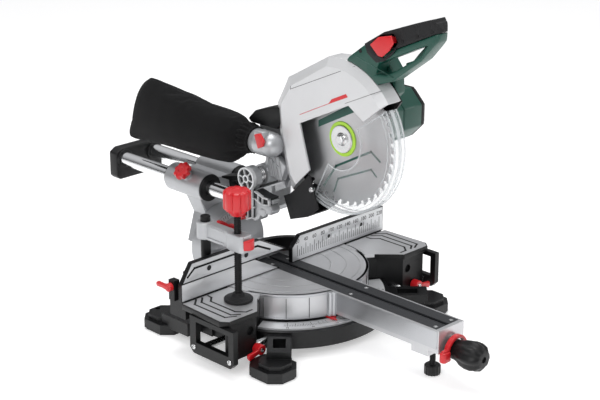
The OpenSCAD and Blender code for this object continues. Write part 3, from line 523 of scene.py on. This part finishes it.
def pillow():
    """The dust bag: a flat bag cut a little large, blown up by a cloth simulation with its mouth held."""
    rings = []
    for y, low, high, wide, pinch in (
            (61, 190, 232, 21, 0), (70, 184, 236, 24, 0.1), (84, 170, 245, 29, 0.35),
            (105, 160, 249, 32, 0.6),
            (140, 156, 253, 33, 0.8), (190, 153, 259, 33, 0.9), (240, 150, 264, 32, 1),
            (280, 148, 267, 29, 1),
            (300, 147, 266, 26, 1), (318, 146.5, 253, 22, 1), (330, 146, 226, 17, 1),
            (345, 145.5, 190, 11, 1),
            (358, 145.5, 162, 5, 1)):
        ring = []
        for k in range(BAG_SIDES):
            a = 2 * math.pi * k / BAG_SIDES
            c, h = math.cos(a), math.sin(a)
            side = math.copysign(abs(c) ** (1 + 0.55 * pinch), c)
            ring.append(((BAG_X + wide * side) / 1000, y / 1000,
                         (T + (low + high) / 2 + (high - low) / 2 * h) / 1000))
        rings.append(ring)
    loft = bmesh.new()
    rows = [[loft.verts.new(p) for p in ring] for ring in rings]
    for one, two in zip(rows, rows[1:]):
        for k in range(BAG_SIDES):
            loft.faces.new((one[k - 1], one[k], two[k], two[k - 1]))
    loft.faces.new(rows[0])
    loft.faces.new(rows[-1])
    bag = Shape().merge(loft).done("bag", "head", "bag_cloth", "cloth", ["dust_bag"], angle=80)
    bpy.context.view_layer.objects.active = bag
    weld = bag.modifiers.new("weld", "REMESH")
    weld.mode = "VOXEL"
    weld.voxel_size = BAG_VOXEL
    bpy.ops.object.modifier_apply(modifier=weld.name)
    mouth = bag.vertex_groups.new(name="mouth")
    mouth.add([v.index for v in bag.data.vertices if v.co.y < MOUTH_END], 1.0, "REPLACE")
    rest = [v.co.copy() for v in bag.data.vertices]
    cloth = bag.modifiers.new("cloth", "CLOTH")
    cloth.settings.quality = 6
    cloth.settings.mass = 0.2
    cloth.settings.use_pressure = True
    cloth.settings.uniform_pressure_force = 4.0
    cloth.settings.shrink_min = -0.07
    cloth.settings.vertex_group_mass = "mouth"
    cloth.settings.effector_weights.gravity = 0.0
    for frame_number in range(1, 21):
        bpy.context.scene.frame_set(frame_number)
    bpy.ops.object.modifier_apply(modifier=cloth.name)
    bpy.context.scene.frame_set(1)
    for vert, start in zip(bag.data.vertices, rest):
        moved = vert.co - start
        if moved.length > PUFF:
            vert.co = start + moved * (PUFF / moved.length)
        vert.co = [min(max(c, a), b) for c, a, b in zip(vert.co, BAG_LOW, BAG_HIGH)]
    smooth = bag.modifiers.new("smooth", "SUBSURF")
    smooth.levels = smooth.render_levels = 1
    bpy.ops.object.modifier_apply(modifier=smooth.name)
    bag.data.polygons.foreach_set("use_smooth", [True] * len(bag.data.polygons))
    return bag


bag = pillow()
skin = BVHTree.FromObject(bag, bpy.context.evaluated_depsgraph_get())


def welt(shape, points, x, r, sink=0.2):
    """A sewn cord along the bag's surface, found by looking inwards from points round it."""
    middle = Vector((x, 200, T + 208)) / 1000
    row = []
    for u, v in points:
        start = Vector((x, u, v)) / 1000
        hit, normal, _, _ = skin.ray_cast(start, (middle - start).normalized())
        if hit:
            row.append((hit - normal * sink / 1000) * 1000)
    for a, b in zip(row, row[1:]):
        if (b - a).length > 0.3:
            shape.rod(a, b, r, 8, 0.05)


def along(points, step=6.0):
    row = []
    for (u0, v0), (u1, v1) in zip(points, points[1:]):
        count = max(1, int(math.hypot(u1 - u0, v1 - v0) / step))
        row += [(u0 + (u1 - u0) * k / count, v0 + (v1 - v0) * k / count) for k in range(count)]
    return row + [points[-1]]


seams = Shape()
ROUND = along(up([(84, 260), (180, 285), (305, 300), (345, 265), (385, 150), (366, 120), (240, 120),
                  (120, 130),
                  (80, 160)]), 4)
welt(seams, ROUND, BAG_X, 1.3)
seams.done("bag_seam", "head", "bag_cloth", "thread")
mouth = Shape()
folds = []
for k in range(120):
    a = math.radians(3 * k)
    wave = math.cos(18 * a) + 0.4 * math.cos(7 * a + 1)
    folds.append((a, wave))
rows = [(44.2, 21.4, 0.5), (46, 22.6, 0.7), (49, 21.6, 0.3), (52, 21.3, 0.2), (55, 22.8, 0.9),
        (59, 24.6, 1.3), (64, 25.6, 1.6),
        (70, 25.0, 1.5)]
ruff = bmesh.new()
grid = [[ruff.verts.new(((PORT[0] + (r + d * w) * math.cos(a)) / 1000, y / 1000,
                         (PORT[2] + (r + d * w) * math.sin(a) * 0.98) / 1000))
         for a, w in folds] for y, r, d in rows]
inner = [[ruff.verts.new(((PORT[0] + r * math.cos(a)) / 1000, y / 1000, (PORT[2] + r * math.sin(a)) / 1000))
          for a, _ in folds] for y, r in ((70, 20.2), (44.2, 20.2))]
loops = grid + inner
for one, two in zip(loops, loops[1:] + loops[:1]):
    for k in range(len(folds)):
        ruff.faces.new((one[k - 1], one[k], two[k], two[k - 1]))
mouth.merge(ruff)
mouth.done("bag_collar", "head", "bag_cloth", "cloth", angle=70)

# ---------------------------------------------------------------- handle

SHELL = up([(-146, 382), (-178, 406), (-186, 396.5), (-240, 409.5), (-312, 443), (-320, 445), (-316, 432),
            (-288, 400),
            (-233, 359)] + [polar(132.6, a, -122, 244) for a in (128, 122, 116, 110, 104, 98)])
GAP = up([(-200, 364), (-206, 382), (-245, 400), (-283, 418), (-298, 424.6), (-288, 408.7), (-245, 380),
          (-222, 367)])


def handle_half(y, wide):
    """Half the handle's width at y: it narrows to a round end."""
    start, middle, r = -185, -308, 13
    if y > start:
        return wide
    if y > middle:
        return wide + (r - wide) * (start - y) / (start - middle)
    return math.sqrt(max(4, r * r - (y - middle) ** 2))


def narrowed(shape, wide):
    for y in (-185, -300, -308, -311, -314, -316.5, -318.5, -320):
        bmesh.ops.bisect_plane(shape.mesh,
                               geom=shape.mesh.verts[:] + shape.mesh.edges[:] + shape.mesh.faces[:],
                               plane_co=(0, y / 1000, 0), plane_no=(0, 1, 0))
    for vert in shape.mesh.verts:
        vert.co.x *= handle_half(vert.co.y * 1000, wide) / wide


handle = Shape()
handle.plate("x", SHELL, -15, 15, 2.4, holes=[GAP], steps=3)
handle.plate("x", up([(-299, 425.5), (-288, 408), (-245, 379), (-246, 387), (-260, 393), (-269, 404),
                      (-282, 418)]), 2, 13.5, 1)
narrowed(handle, 15)
handle.plate("x", up([(-146, 384), (-186, 396), (-218, 358), (-206, 350), (-176, 364.5), (-142, 375)]), 13,
             38, 2.0, steps=3)
handle.plate("x", up([(-146, 384), (-140, 313), (-166, 309), (-186, 300), (-214, 330), (-212, 360)]), 17.4,
             38, 2.0, steps=3)
strip(handle, "x", up([(-160, 386), (-236, 366)]), 1.0, -15.3, -14.5, 0.2)
handle.done("handle_body", "head", "green_plastic", "green", ["handle_shell"])

GRIP = up([(-186, 397), (-240, 410), (-312, 443.6), (-320, 446), (-320.6, 449), (-315, 459), (-304, 463),
           (-274, 453),
           (-218, 432), (-180, 408)])
RECESS = up([(-193, 407.5), (-196, 413.5), (-211, 426.5), (-236, 432.5), (-244.5, 421), (-240, 412.6),
             (-214, 403.8),
             (-201, 401.4)])
LIP = [(-195, 410), (-211, 424), (-237, 430.5), (-242, 420), (-233, 407), (-219, 395), (-211, 396)]
grip = Shape()
grip.plate("x", GRIP, -3, 17, 3.2, steps=4)
grip.plate("x", GRIP, -17, -2, 3.2, holes=[RECESS], steps=4)
for k in range(3):
    y = -252 - 27 * k
    z = 444.5 + 9.4 * k
    grip.plate("x", up([(y, z - 18), (y - 4.5, z - 15.5), (y - 6, z - 4), (y - 2.5, z + 1.2),
                        (y + 2.5, z - 0.4),
                        (y + 0.6, z - 9)]), -17.5, 17.5, 1.2, steps=3)
narrowed(grip, 17)
grip.plate("x", up([(-181, 405.5), (-185, 395), (-203.8, 383.3), (-221, 389), (-237, 403), (-243, 411),
                    (-241, 411.4),
                    (-234.4, 405), (-219.2, 393.2), (-209.6, 394.2), (-193.6, 405.4)]), -17.2, -14.6, 0.5)
grip.done("grip_cover", "head", "grip_rubber", "rubber", ["grip_rubber"])
# Black discs on the grip and the handle's sides: painted shade standing for the dark inside of screw holes.
holes = Shape()
for y, z in ((-252.5, 423.1), (-279.4, 435.7), (-306.5, 447)):
    holes.lathe("x", (-0.3 - handle_half(y, 17), y, T + z), [(-0.15, 0), (-0.15, 3.0), (0.6, 3.0), (0.6, 0)],
                24)
for x in (-15.25, 15.05):
    holes.lathe("x", (x, -170, T + 395), [(0, 0), (0, 3.2), (0.2, 3.2), (0.2, 0)], 24)
holes.done("handle_hole_shade", "head", "black_plastic", "ink_and_hole_shade")
trigger = Shape()
trigger.plate("x", up([(-199, 410.5), (-214, 424.6), (-235, 427.4), (-238, 419), (-215, 406.6),
                       (-205, 404.6)]), -20.8, -8, 2.0,
              steps=4)
trigger.plate("x", up(LIP), -22.2, -19.2, 1.3, steps=4)
for k in range(4):
    y, z = -205 - 7.5 * k, 413.5 + 2.4 * k
    strip(trigger, "x", up([(y, z - 5), (y - 2.4, z), (y - 2.0, z + 6)]), 1.2, -21.0, -19.5, 0.4)
trigger.done("switch_key", "switch", "red_plastic", "red", ["trigger"])

# ---------------------------------------------------------------- carriage, rails and bevel arm

spokes = Shape()
hub = (-50.1, HINGE_Y, HINGE_Z)
spokes.ring("x", hub, 16.4, 19, -7.9, -0.2, 64, 0.4)
spokes.ring("x", hub, 4.2, 6.8, -7.9, -0.2, 40, 0.4)
for k in range(6):
    spoke = [polar(r, 60 * k + 10, HINGE_Y, HINGE_Z) for r in (6, 17)]
    strip(spokes, "x", spoke, 1.6, -57.6, -51, 0.3)
RIBS = [[(30, 138), (30, 88)], [(41, 135), (41, 84)], [(52, 136), (52, 88)], [(24, 122), (52, 118)],
        [(26, 106), (52, 103)],
        [(30, 88), (41, 83.5), (52, 88)], [(24, 134), (6, 128), (-8, 128)], [(24, 122), (8, 116), (-8, 118)],
        [(16, 131), (16, 118)], [(6, 128), (6, 117)], [(-8, 128), (-8, 118)]]
for line in RIBS:
    strip(spokes, "x", up(line), 1.7, -53.6, -48, 0.3)
spokes.done("bracket_ribs", "carriage", "cast_aluminium", "scale", ["rib_disc"])
# Dark grey sheets behind the ribs and spokes: painted shade for the recesses of the bracket casting.
pocket = Shape()
pocket.lathe("x", hub, [(-4.5, 0), (-4.5, 17), (-0.1, 17), (-0.1, 0)], 64)
pocket.plate("x", up([(29, 137), (53, 137), (53, 87), (41, 83), (29, 87)]), -50.6, -46, 0.6)
pocket.plate("x", up([(29, 134), (6, 129), (-8, 129), (-8, 117), (8, 115), (29, 121)]), -50.6, -29, 0.8)
pocket.done("bracket_pocket_shade", "carriage", "black_plastic", "dark")
nose = Shape()
nose.plate("x", up([(29, 121), (8, 115), (-6, 117), (-12, 108), (-8, 100), (14, 99), (18, 86), (29, 80),
                    (44, 84), (44, 121)]), -48, -28.5,
           2.2, steps=3)
nose.lathe("x", (0, 10, T + 100), [(-49.4, 0), (-49.4, 6), (-48, 7.5), (-47, 7.5), (-47, 0)], 32)
nose.rod((-46, -9, T + 122), (-31, -9, T + 122), 3.4, 20)
nose.plate("x", up([(44, 84), (62, 84), (62, 128), (44, 128)]), -49, 49, 2.0, steps=3)
nose.done("bracket_nose", "carriage", "cast_aluminium", "cast")
cover = Shape()
cover.plate("x", up([(44, 128), (62, 128), (65, 124), (65, 148), (62, 150), (52, 150), (44, 140)]), -20, 20,
            1.5)
cover.plate("x", up([(60, 120), (150, 117.8), (150, 121), (96, 134), (64, 150), (60, 150)]), -12, 12, 1.2)
cover.done("carriage_cover", "carriage", "black_plastic", "plastic")

tail = Shape()
outline = [(-52, -31), (-45, -38), (45, -38), (52, -31), (52, 12), (40, 19), (-40, 19), (-52, 12)]
tail.plate("y", [(x, RAIL_Z + z) for x, z in outline], 383.2, 404.8, 3.0, steps=4,
           holes=[arc(s * RAIL_X, RAIL_Z, 12.6, 0, 345, 23) for s in (-1, 1)])
for s in (-1, 1):
    tail.lathe("y", (s * RAIL_X, 0, RAIL_Z), [(393, 0), (393, 12.7), (404, 12.7), (404, 0)], 32)
    tail.ring("y", (s * RAIL_X, 0, RAIL_Z), 12.7, 16.5, 380.5, 384, 48, 0.6)
tail.done("rail_end_cap", "carriage", "black_plastic", "plastic", ["rear_cap"])

seals = Shape()
for s in (-1, 1):
    at = (s * RAIL_X, 0, RAIL_Z)
    seals.ring("y", at, 12.8, 23.4, 152.4, 157, 64, 1.4)
    seals.ring("y", at, 12.8, 22.5, 244.5, 248.5, 64, 1.0)
seals.done("rail_wipers", "bevel_head", "black_plastic", "plastic", ["rail_seals"])


def knob(shape, centre, axis, h, r, lobes, matrix=None, hollow=True):
    """A lobed turning knob with a rounded crown, standing on its axis from 0 to h."""
    profile = [(0, r * 0.45, 0), (h * 0.10, r * 0.62, 0.2), (h * 0.32, r * 0.93, 1), (h * 0.46, r, 1),
               (h * 0.82, r, 1),
               (h * 0.94, r * 0.93, 1), (h, r * 0.82, 0.8), (h, r * 0.34, 0)]
    profile += [(h * 0.93, r * 0.28, 0), (h * 0.93, 0, 0)] if hollow else [(h, 0, 0)]
    shape.lathe(axis, centre, profile, 12 * lobes, flutes=lobes, depth=r * 0.15, matrix=matrix)


tilt = placed((-RAIL_X, 192, RAIL_Z), -45, "Y")
slider = Shape()
knob(slider, (0, 0, 29.5), "z", 15, 16.4, 8, tilt)
slider.lathe("z", (0, 0, 0), [(13, 0), (13, 3.9), (31, 3.9), (31, 0)], 24, matrix=tilt)
slider.done("slide_lock_knob", "slide_lock", "red_plastic", "red", ["slide_knob"])

lever = Shape()
lever.rod((-14, 117.6, T + 34), (-14, 127.6, T + 34), 8.2, 32, 1.0)
lever.rod((-14, 125, T + 34), (-14, 143, T + 34), 2.9, 16)
swing = placed((-14, 0, T + 34), -148, "Y")
lever.plate("y", [(0, -5.5), (14, -4.0), (30, -5.0), (38, -3.4), (39, 0), (38, 3.4), (30, 5.0), (14, 4.0),
                  (0, 5.5)], 118, 125.5, 1.6,
            steps=3, matrix=swing)
lever.done("bevel_handle", "bevel_clamp_lever", "red_plastic", "red", ["bevel_lever"])

degrees = Shape()
degrees.lathe("y", (0, 0, T), [(129.4, 51), (129.4, 63), (130.1, 63), (130.1, 51)], 40, closed=True, a0=50,
              a1=130)
degrees.done("bevel_scale_plate", "table", "scale_plate", "scale")
marks = Shape()
for k in range(-8, 9):
    mark = [polar(r, 90 + 4.5 * k, 0, T) for r in (56 if k % 4 else 53, 62)]
    strip(marks, "y", mark, 0.6, 129.25, 129.5)
marks.done("bevel_scale_marks", "table", "black_plastic", "ink_and_hole_shade")

shoulder = Shape()
for s in (-1, 1):
    shoulder.plate("z", [(s * 14, 204), (s * 30, 204), (s * 26, 230), (s * 14, 238)], RAIL_Z - 24,
                   RAIL_Z - 10, 2.0)
shoulder.plate("y", [(-22, T + 24), (22, T + 24), (30, T + 78), (-30, T + 78)], 201.5, 204, 1.0)
for s in (-1, 1):
    strip(shoulder, "y", [(s * 44, T + 4), (s * 27, T + 52), (s * 47, T + 88)], 3.0, 166.8, 169.5, 0.8)
shoulder.lathe("y", (0, 0, T), [(201, 0), (201, 27), (203.5, 25.5), (203.5, 15), (202.5, 14), (202.5, 0)], 64)
shoulder.done("bevel_arm_ribs", "bevel_head", "cast_aluminium", "cast")

# ---------------------------------------------------------------- fences

faces = Shape()
faces.plate("y", up([(9.2, 1.6), (229, 1.6), (229, 43.4), (26.6, 43.4), (9.2, 25.6)]), -0.25, 0.4, 0.15,
            holes=[arc(x, T + 24.6, 3.4, 0, 337.5, 15) for x in (95, 174.6)])
faces.plate("y", up([(-231, 1.6), (-25, 1.6), (-76.4, 29.2), (-231, 29.2)]), -0.25, 0.4, 0.15)
faces.done("fence_faces", "base", "table_aluminium", "scale")
slider_face = Shape()
slider_face.plate("y", up([(-12, 31.6), (-65.6, 59.6), (-209.4, 59.6), (-228, 31.6)]), -0.25, 0.4, 0.15,
                  holes=[arc(x, T + z, 4.5, 0, 337.5, 15) for x, z in ((-174.2, 43.2), (-94.9, 42.9))])
slider_face.done("fence_slider_face", "upper_fence", "table_aluminium", "scale")
groove = Shape()
strip(groove, "y", up([(-219, 39.7), (-205, 51), (-70, 51.5), (-43, 38.6)]), 3.4, -0.5, 0.3)
groove.done("fence_slider_line", "upper_fence", "black_plastic", "ink_and_hole_shade")
ticks = Shape()
FIRST_TICK, TICK_STEP, TICKS = 20, 5, 41
for k in range(TICKS):
    x = FIRST_TICK + TICK_STEP * k
    tall = 19.5 if k % 4 == 0 else (15 if k % 2 == 0 else 11)
    ticks.plate("y", up([(x - 0.45, 8.5), (x + 0.45, 8.5), (x + 0.45, 8.5 + tall), (x - 0.45, 8.5 + tall)]),
                -0.4, -0.1, 0)
for k in range(1, 12):
    ticks.text(str(20 * k), 9.5, placed((20 * k, -0.27, T + 31.5), 90, "X"))
ticks.done("fence_scale", "base", "black_plastic", "ink_and_hole_shade")

key = Shape()
key.rod((-245, 19, T + 24), (-236.6, 19, T + 24), 6.6, 24, 0.8)
key.rod((-240, 19, T + 24), (-226, 19, T + 24), 2.9, 16)
key.plate("x", [(15, T + 20), (19, T + 19), (32, T + 20.5), (44, T + 20), (46, T + 24), (44, T + 28),
                (32, T + 27.5), (19, T + 29),
                (15, T + 28)], -245.8, -239.2, 1.6, steps=3)
key.done("fence_lever", "upper_fence_lock", "red_plastic", "red", ["fence_lock"])

# ---------------------------------------------------------------- side tables and base

GROOVES = [[(207, -5), (221, -18), (221, -88), (206, -96)], [(195, -6), (208, -19), (208, -87), (197, -95)],
           [(183, -6), (184, -15), (195, -26), (195, -82), (184, -95), (172, -95)]]
inlay = Shape()
for s in (-1, 1):
    for line in GROOVES:
        strip(inlay, "z", [(s * u, v) for u, v in line], 3.3, T - 1.1, T + 0.08)
inlay.done("table_inlays", "base", "black_plastic", "ink_and_hole_shade")
trim = Shape()
RIM = [(121, -40), (131, -60), (138.4, -76), (169, -106.2), (228, -106.2), (238.2, -93.5), (234.2, -2.6),
       (231, -2.6),
       (235, -92.6), (226.6, -103.2), (170.2, -103.2), (140.8, -74.4), (133.6, -59), (124, -40)]
for s in (-1, 1):
    trim.plate("z", [(s * u, v) for u, v in RIM], T - 9, T - 0.6, 0.5)
trim.done("table_rims", "base", "black_plastic", "plastic")
for side, s in (("left", -1), ("right", 1)):
    screws = Shape()
    for y, z in ((-115, 29), (-33, 29)):
        screw(screws, "x", (s * 237.5, y, z), 4.4, s * 2.4)
    screws.done(side + "_frame_screws", side + "_extension", "steel", "steel")

screws = Shape()
for s in (-1, 1):
    for y in (-159, -335, 20):
        screw(screws, "z", (s * 18, y, T - 0.8), 4.2, 1.0, False)
screws.done("insert_screws", "table", "steel", "steel")

DIAL_Z, MITRE_END = 45.2, 47
dial = Shape()
for k in range(-MITRE_END, MITRE_END + 1):
    inner = 139 if k % 15 == 0 or abs(k) == 22 else (145 if k % 5 else 141)
    mark = [polar(r, k - 90) for r in (inner, 151)]
    strip(dial, "z", mark, 0.45 if k % 5 else 0.7, DIAL_Z - 0.1, DIAL_Z + 0.15)
for k in range(-45, 46, 15):
    place = placed((*polar(156.5, k - 90), DIAL_Z), k, "Z") @ Matrix.Translation((0, -0.0018, 0))
    dial.text(str(abs(k)), 5.2, place)
dial.done("mitre_scale_marks", "base", "black_plastic", "ink_and_hole_shade")

hood = Shape()
for a in list(range(-168, -104, 16)) + list(range(-60, -10, 16)):
    strip(hood, "z", [polar(131.4, a), polar(132.5, a)], 0.8, 50, 84)
hood.done("turntable_joints", "table", "black_plastic", "dark")
collar = Shape()
for low, high, a0, a1 in ((48.2, 52, -168, -12), (85.5, 90.0, -164, -103), (85.5, 90.0, -77, -16)):
    collar.ring("z", (0, 0, 0), 128, 132.9, low, high, 96, 0.8, a0=a0, a1=a1)
for s in (-1, 1):
    collar.rod((s * 34, -129, 48.5), (s * 34, -129, 89.5), 5.0, 24, 0.8)
    collar.rod((s * 29.5, -133, 48.5), (s * 29.5, -133, 89.5), 4.0, 24, 0.8)
    strip(collar, "y", [(s * 29.2, 88), (s * 29.2, 60)], 1.2, -348, -140)
collar.done("turntable_rims", "table", "cast_aluminium", "side")

# ---------------------------------------------------------------- arm grip, latch and foot

AXIS_Z, FOOT_Y = 55, -316
grip = Shape()
grip.lathe("y", (0, -352, AXIS_Z), [(0, 8, 0), (0, 15.5, 0), (-14, 15.8, 0), (-20, 17.5, 0.2), (-28, 21.5, 1),
                                    (-38, 23.6, 1), (-48, 23.6, 1),
                                    (-57, 20.6, 0.8), (-62.4, 14.5, 0.4), (-63, 12.5, 0), (-63, 5, 0),
                                    (-60, 4.4, 0), (-60, 0, 0)],
           96, flutes=8, depth=3.0)
grip.rod((0, -353, AXIS_Z), (0, -339.2, AXIS_Z), 5.9, 24)
grip.done("arm_knob", "arm_grip", "black_plastic", "plastic", ["mitre_grip"])
latch = Shape()
latch.ring("y", (0, 0, AXIS_Z), 19.2, 23.6, -365, -356, 48, 1.2, a0=-35, a1=215)
latch.plate("z", [(-20.5, -369), (-34, -369.5), (-37, -366), (-37, -360), (-33, -357), (-20.5, -357)], 44, 60,
            2.4, steps=3)
latch.plate("z", [(-20.5, -366), (-34, -366), (-34, -360), (-20.5, -360)], 58, 63, 1.6, steps=3)
latch.done("latch_lever", "arm_latch", "red_plastic", "red", ["mitre_latch"])
foot = Shape()
foot.lathe("z", (0, FOOT_Y, 0), [(0, 0), (0, 12.4), (1.4, 13), (14, 13), (15.5, 11.6), (16, 5), (16, 0)], 60,
           flutes=15, depth=0.9)
foot.lathe("z", (0, FOOT_Y, 0), [(15, 0), (15, 5)] + [(16 + 1.2 * k, 4.95 - 0.6 * (k % 2))
                                                      for k in range(27)] + [(48, 4.6), (48, 0)], 32)
foot.done("arm_foot_knob", "arm_foot_screw", "black_plastic", "plastic", ["arm_foot"])
LOCK_Z = 29
for side, x, turn in (("left", -172, 168), ("right", 196, 12)):
    knobby = Shape()
    knobby.rod((x, -118, LOCK_Z), (x, -103.2, LOCK_Z), 8.4, 32, 1.2)
    knobby.rod((x, -117, LOCK_Z), (x, -100.5, LOCK_Z), 3.9, 16)
    at = placed((x, 0, LOCK_Z), turn, "Y")
    knobby.plate("y", [(0, -5.5), (9, -3.8), (20, -4.6), (27, -5.6), (28.6, 0), (27, 5.6), (20, 4.6),
                       (9, 3.8), (0, 5.5)], -117.8,
                 -112.2, 1.4, steps=3, matrix=at)
    knobby.done(side + "_lock_lever", side + "_extension_lock", "red_plastic", "red",
                ["extension_lock_" + side])
    pin = Shape()
    screw(pin, "y", (x, -117.8, LOCK_Z), 3.6, -1.4)
    pin.done(side + "_lock_screw", side + "_extension_lock", "steel", "steel")

# ---------------------------------------------------------------- clamp

CLAMP_X, POST_Y, SCREW_Y = -161, 22, -53
spindle = Shape()
threads = [(T + 6.6, 0), (T + 6.6, 5.4)]
threads += [(T + 8 + 1.55 * k, 5.95 if k % 2 else 5.0) for k in range(88)]
threads += [(T + 145, 5.0), (T + 145, 0)]
spindle.lathe("z", (CLAMP_X, SCREW_Y, 0), threads, 32)
spindle.done("clamp_thread", "clamp_spindle", "steel", "ink_and_hole_shade")
wheel = Shape()
wheel.lathe("z", (CLAMP_X, SCREW_Y, T + 142), [(0, 0, 0), (0, 10, 0), (1, 11, 0), (5, 14, 0), (10, 20.5, 0.9),
                                               (12, 21.8, 1),
                                               (36, 21.8, 1), (39, 21, 1), (41, 18, 0.7), (41, 9, 0),
                                               (39.5, 8, 0),
                                               (39.5, 0, 0)], 96, flutes=8, depth=3.4, narrow=4)
wheel.done("clamp_knob", "clamp_spindle", "red_plastic", "red", ["clamp_screw"])
shoe = Shape()
shoe.lathe("z", (CLAMP_X, SCREW_Y, 0), [(T + 0.5, 0), (T + 0.5, 22), (T + 1.5, 23), (T + 4.0, 23),
                                        (T + 5.0, 22), (T + 5.4, 18),
                                        (T + 8, 10.5), (T + 13, 8.6), (T + 13, 6.3), (T + 7, 6.3),
                                        (T + 7, 0)], 56)
shoe.done("clamp_shoe", "clamp_foot", "black_plastic", "rubber", ["clamp_pad"])
pole = Shape()
pole.rod((CLAMP_X, POST_Y, 42), (CLAMP_X, POST_Y, T + 122), 8, 48, 1.2)
pole.done("clamp_pole", "clamp", "steel", "ink_and_hole_shade", ["clamp_post"])
bridge = Shape()
bridge.lathe("z", (CLAMP_X, POST_Y, 0), [(T + 85, 8.1), (T + 85, 12.8), (T + 86.2, 14), (T + 111.8, 14),
                                         (T + 113, 12.8), (T + 113, 8.1)], 48,
             closed=True)
bridge.plate("z", [(-169, 12), (-169, -36), (-171, -38), (-173, -44), (-173, -70), (-169, -75), (-153, -75),
                   (-149, -70), (-149, -44),
                   (-151, -38), (-153, -36), (-153, 12)], T + 85.2, T + 112.8, 2.4, steps=3,
             holes=[arc(CLAMP_X, SCREW_Y, 6.1, 0, 345, 23)])
for z in (88, 107):
    bridge.box((-170.2, -30, T + z), (-168.6, 8, T + z + 3), 0.6)
bridge.done("clamp_bridge", "clamp", "cast_aluminium", "cast", ["clamp_arm"])
push = Shape()
push.plate("z", [(-172.5, -77.6), (-171, -80), (-166, -84.5), (-161, -85.6), (-156, -84.5), (-151, -80),
                 (-149.5, -77.6)], T + 92, T + 108,
           1.6, steps=3)
push.rod((CLAMP_X, -77, T + 99), (CLAMP_X, -66, T + 99), 3.8, 20)
push.done("clamp_key", "clamp_release", "red_plastic", "red", ["clamp_button"])

# ---------------------------------------------------------------- battery

pack = Shape()
pack.plate("x", up([(4, 196), (10, 190), (90, 190), (98, 200), (98, 230), (92, 238), (10, 238), (4, 232)]),
           36.6, 58, 2.0, steps=3)
pack.plate("x", up([(6, 194), (12, 191), (88, 191), (96, 200), (96, 228), (90, 236), (12, 236), (6, 230)]),
           59, 104, 4.0, steps=4)
for k in range(4):
    pack.box((66 + 8 * k, 95, T + 204), (70 + 8 * k, 97.6, T + 226), 0.8)
pack.done("battery_case", "battery_pack", "black_plastic", "plastic", ["battery"])
band = Shape()
band.plate("x", up([(5.4, 196), (11, 190.6), (89, 190.6), (96.6, 200), (96.6, 229), (91, 236.6), (11, 236.6),
                    (5.4, 230)]), 57.2, 60.4, 0.6)
band.done("battery_band", "battery_pack", "green_plastic", "green")
keys = Shape()
keys.box((74, 30, T + 235), (92, 60, T + 237.8), 1.0)
keys.done("battery_key", "battery_pack", "red_plastic", "red")


# ---------------------------------------------------------------- stage, light and camera

def area_light(name, spot, aim, size, power, color=(1, 1, 1)):
    data = bpy.data.lights.new(name, "AREA")
    data.shape = "RECTANGLE"
    data.size, data.size_y = size
    data.energy = power
    data.color = color
    lamp = add(name, data)
    lamp.location = spot
    lamp.rotation_euler = (Vector(aim) - Vector(spot)).to_track_quat("-Z", "Y").to_euler()


floor_mesh = bpy.data.meshes.new("floor")
FLOOR, FLOOR_Z = 9, -0.0005
floor_mesh.from_pydata([(x * FLOOR, y * FLOOR, FLOOR_Z) for x, y in ((-1, -1), (1, -1), (1, 1), (-1, 1))], [],
                       [(0, 1, 2, 3)])
floor = add("floor", floor_mesh)
floor_mesh.materials.append(material("pale_floor", (0.92, 0.92, 0.92), 0.55, grain=60, bump=0.02, vary=0.01,
                                     Emission_Color=(1, 1, 1, 1), Emission_Strength=0.42))

world = bpy.data.worlds.new("studio")
world.use_nodes = True
sky = world.node_tree
ramp = node(sky, "ValToRGB")
ramp.color_ramp.elements[0].color = (0.30, 0.30, 0.31, 1)
ramp.color_ramp.elements[1].color = (1.05, 1.05, 1.05, 1)
for place, shade in ((0.46, 0.16), (0.56, 0.10), (0.66, 0.45), (0.80, 0.95)):
    ramp.color_ramp.elements.new(place).color = (shade, shade, shade * 1.02, 1)
facing = node(sky, "TexCoord")
height = node(sky, "SeparateXYZ")
half = node(sky, "Math", operation="MULTIPLY_ADD")
half.inputs[1].default_value = half.inputs[2].default_value = 0.5
sky.links.new(facing.outputs["Generated"], height.inputs[0])
sky.links.new(height.outputs["Z"], half.inputs[0])
sky.links.new(half.outputs[0], ramp.inputs[0])
sky.links.new(ramp.outputs[0], sky.nodes["Background"].inputs[0])
sky.nodes["Background"].inputs[1].default_value = 0.62
bpy.context.scene.world = world
bpy.context.scene.view_settings.view_transform = "Standard"
AIM = (0, 0, 0.25)
area_light("key", (-1.9, -0.9, 1.5), AIM, (0.8, 1.1), 17)
area_light("fill", (1.5, -1.7, 1.0), AIM, (0.6, 1.2), 9)
area_light("top", (0.1, 0.2, 2.1), AIM, (1.3, 0.9), 20)

camera_data = bpy.data.cameras.new("camera")
camera_data.lens = 93.14
camera_data.sensor_width = 36.0
camera = add("camera", camera_data)
camera.location = (-1.6645, -1.7100, 1.0477)
AZIMUTH, ELEVATION = math.radians(-44.68), math.radians(19.5)
back = Vector((math.sin(AZIMUTH) * math.cos(ELEVATION), -math.cos(AZIMUTH) * math.cos(ELEVATION),
               math.sin(ELEVATION)))
camera.rotation_euler = (-back).to_track_quat("-Z", "Y").to_euler()
bpy.context.scene.camera = camera
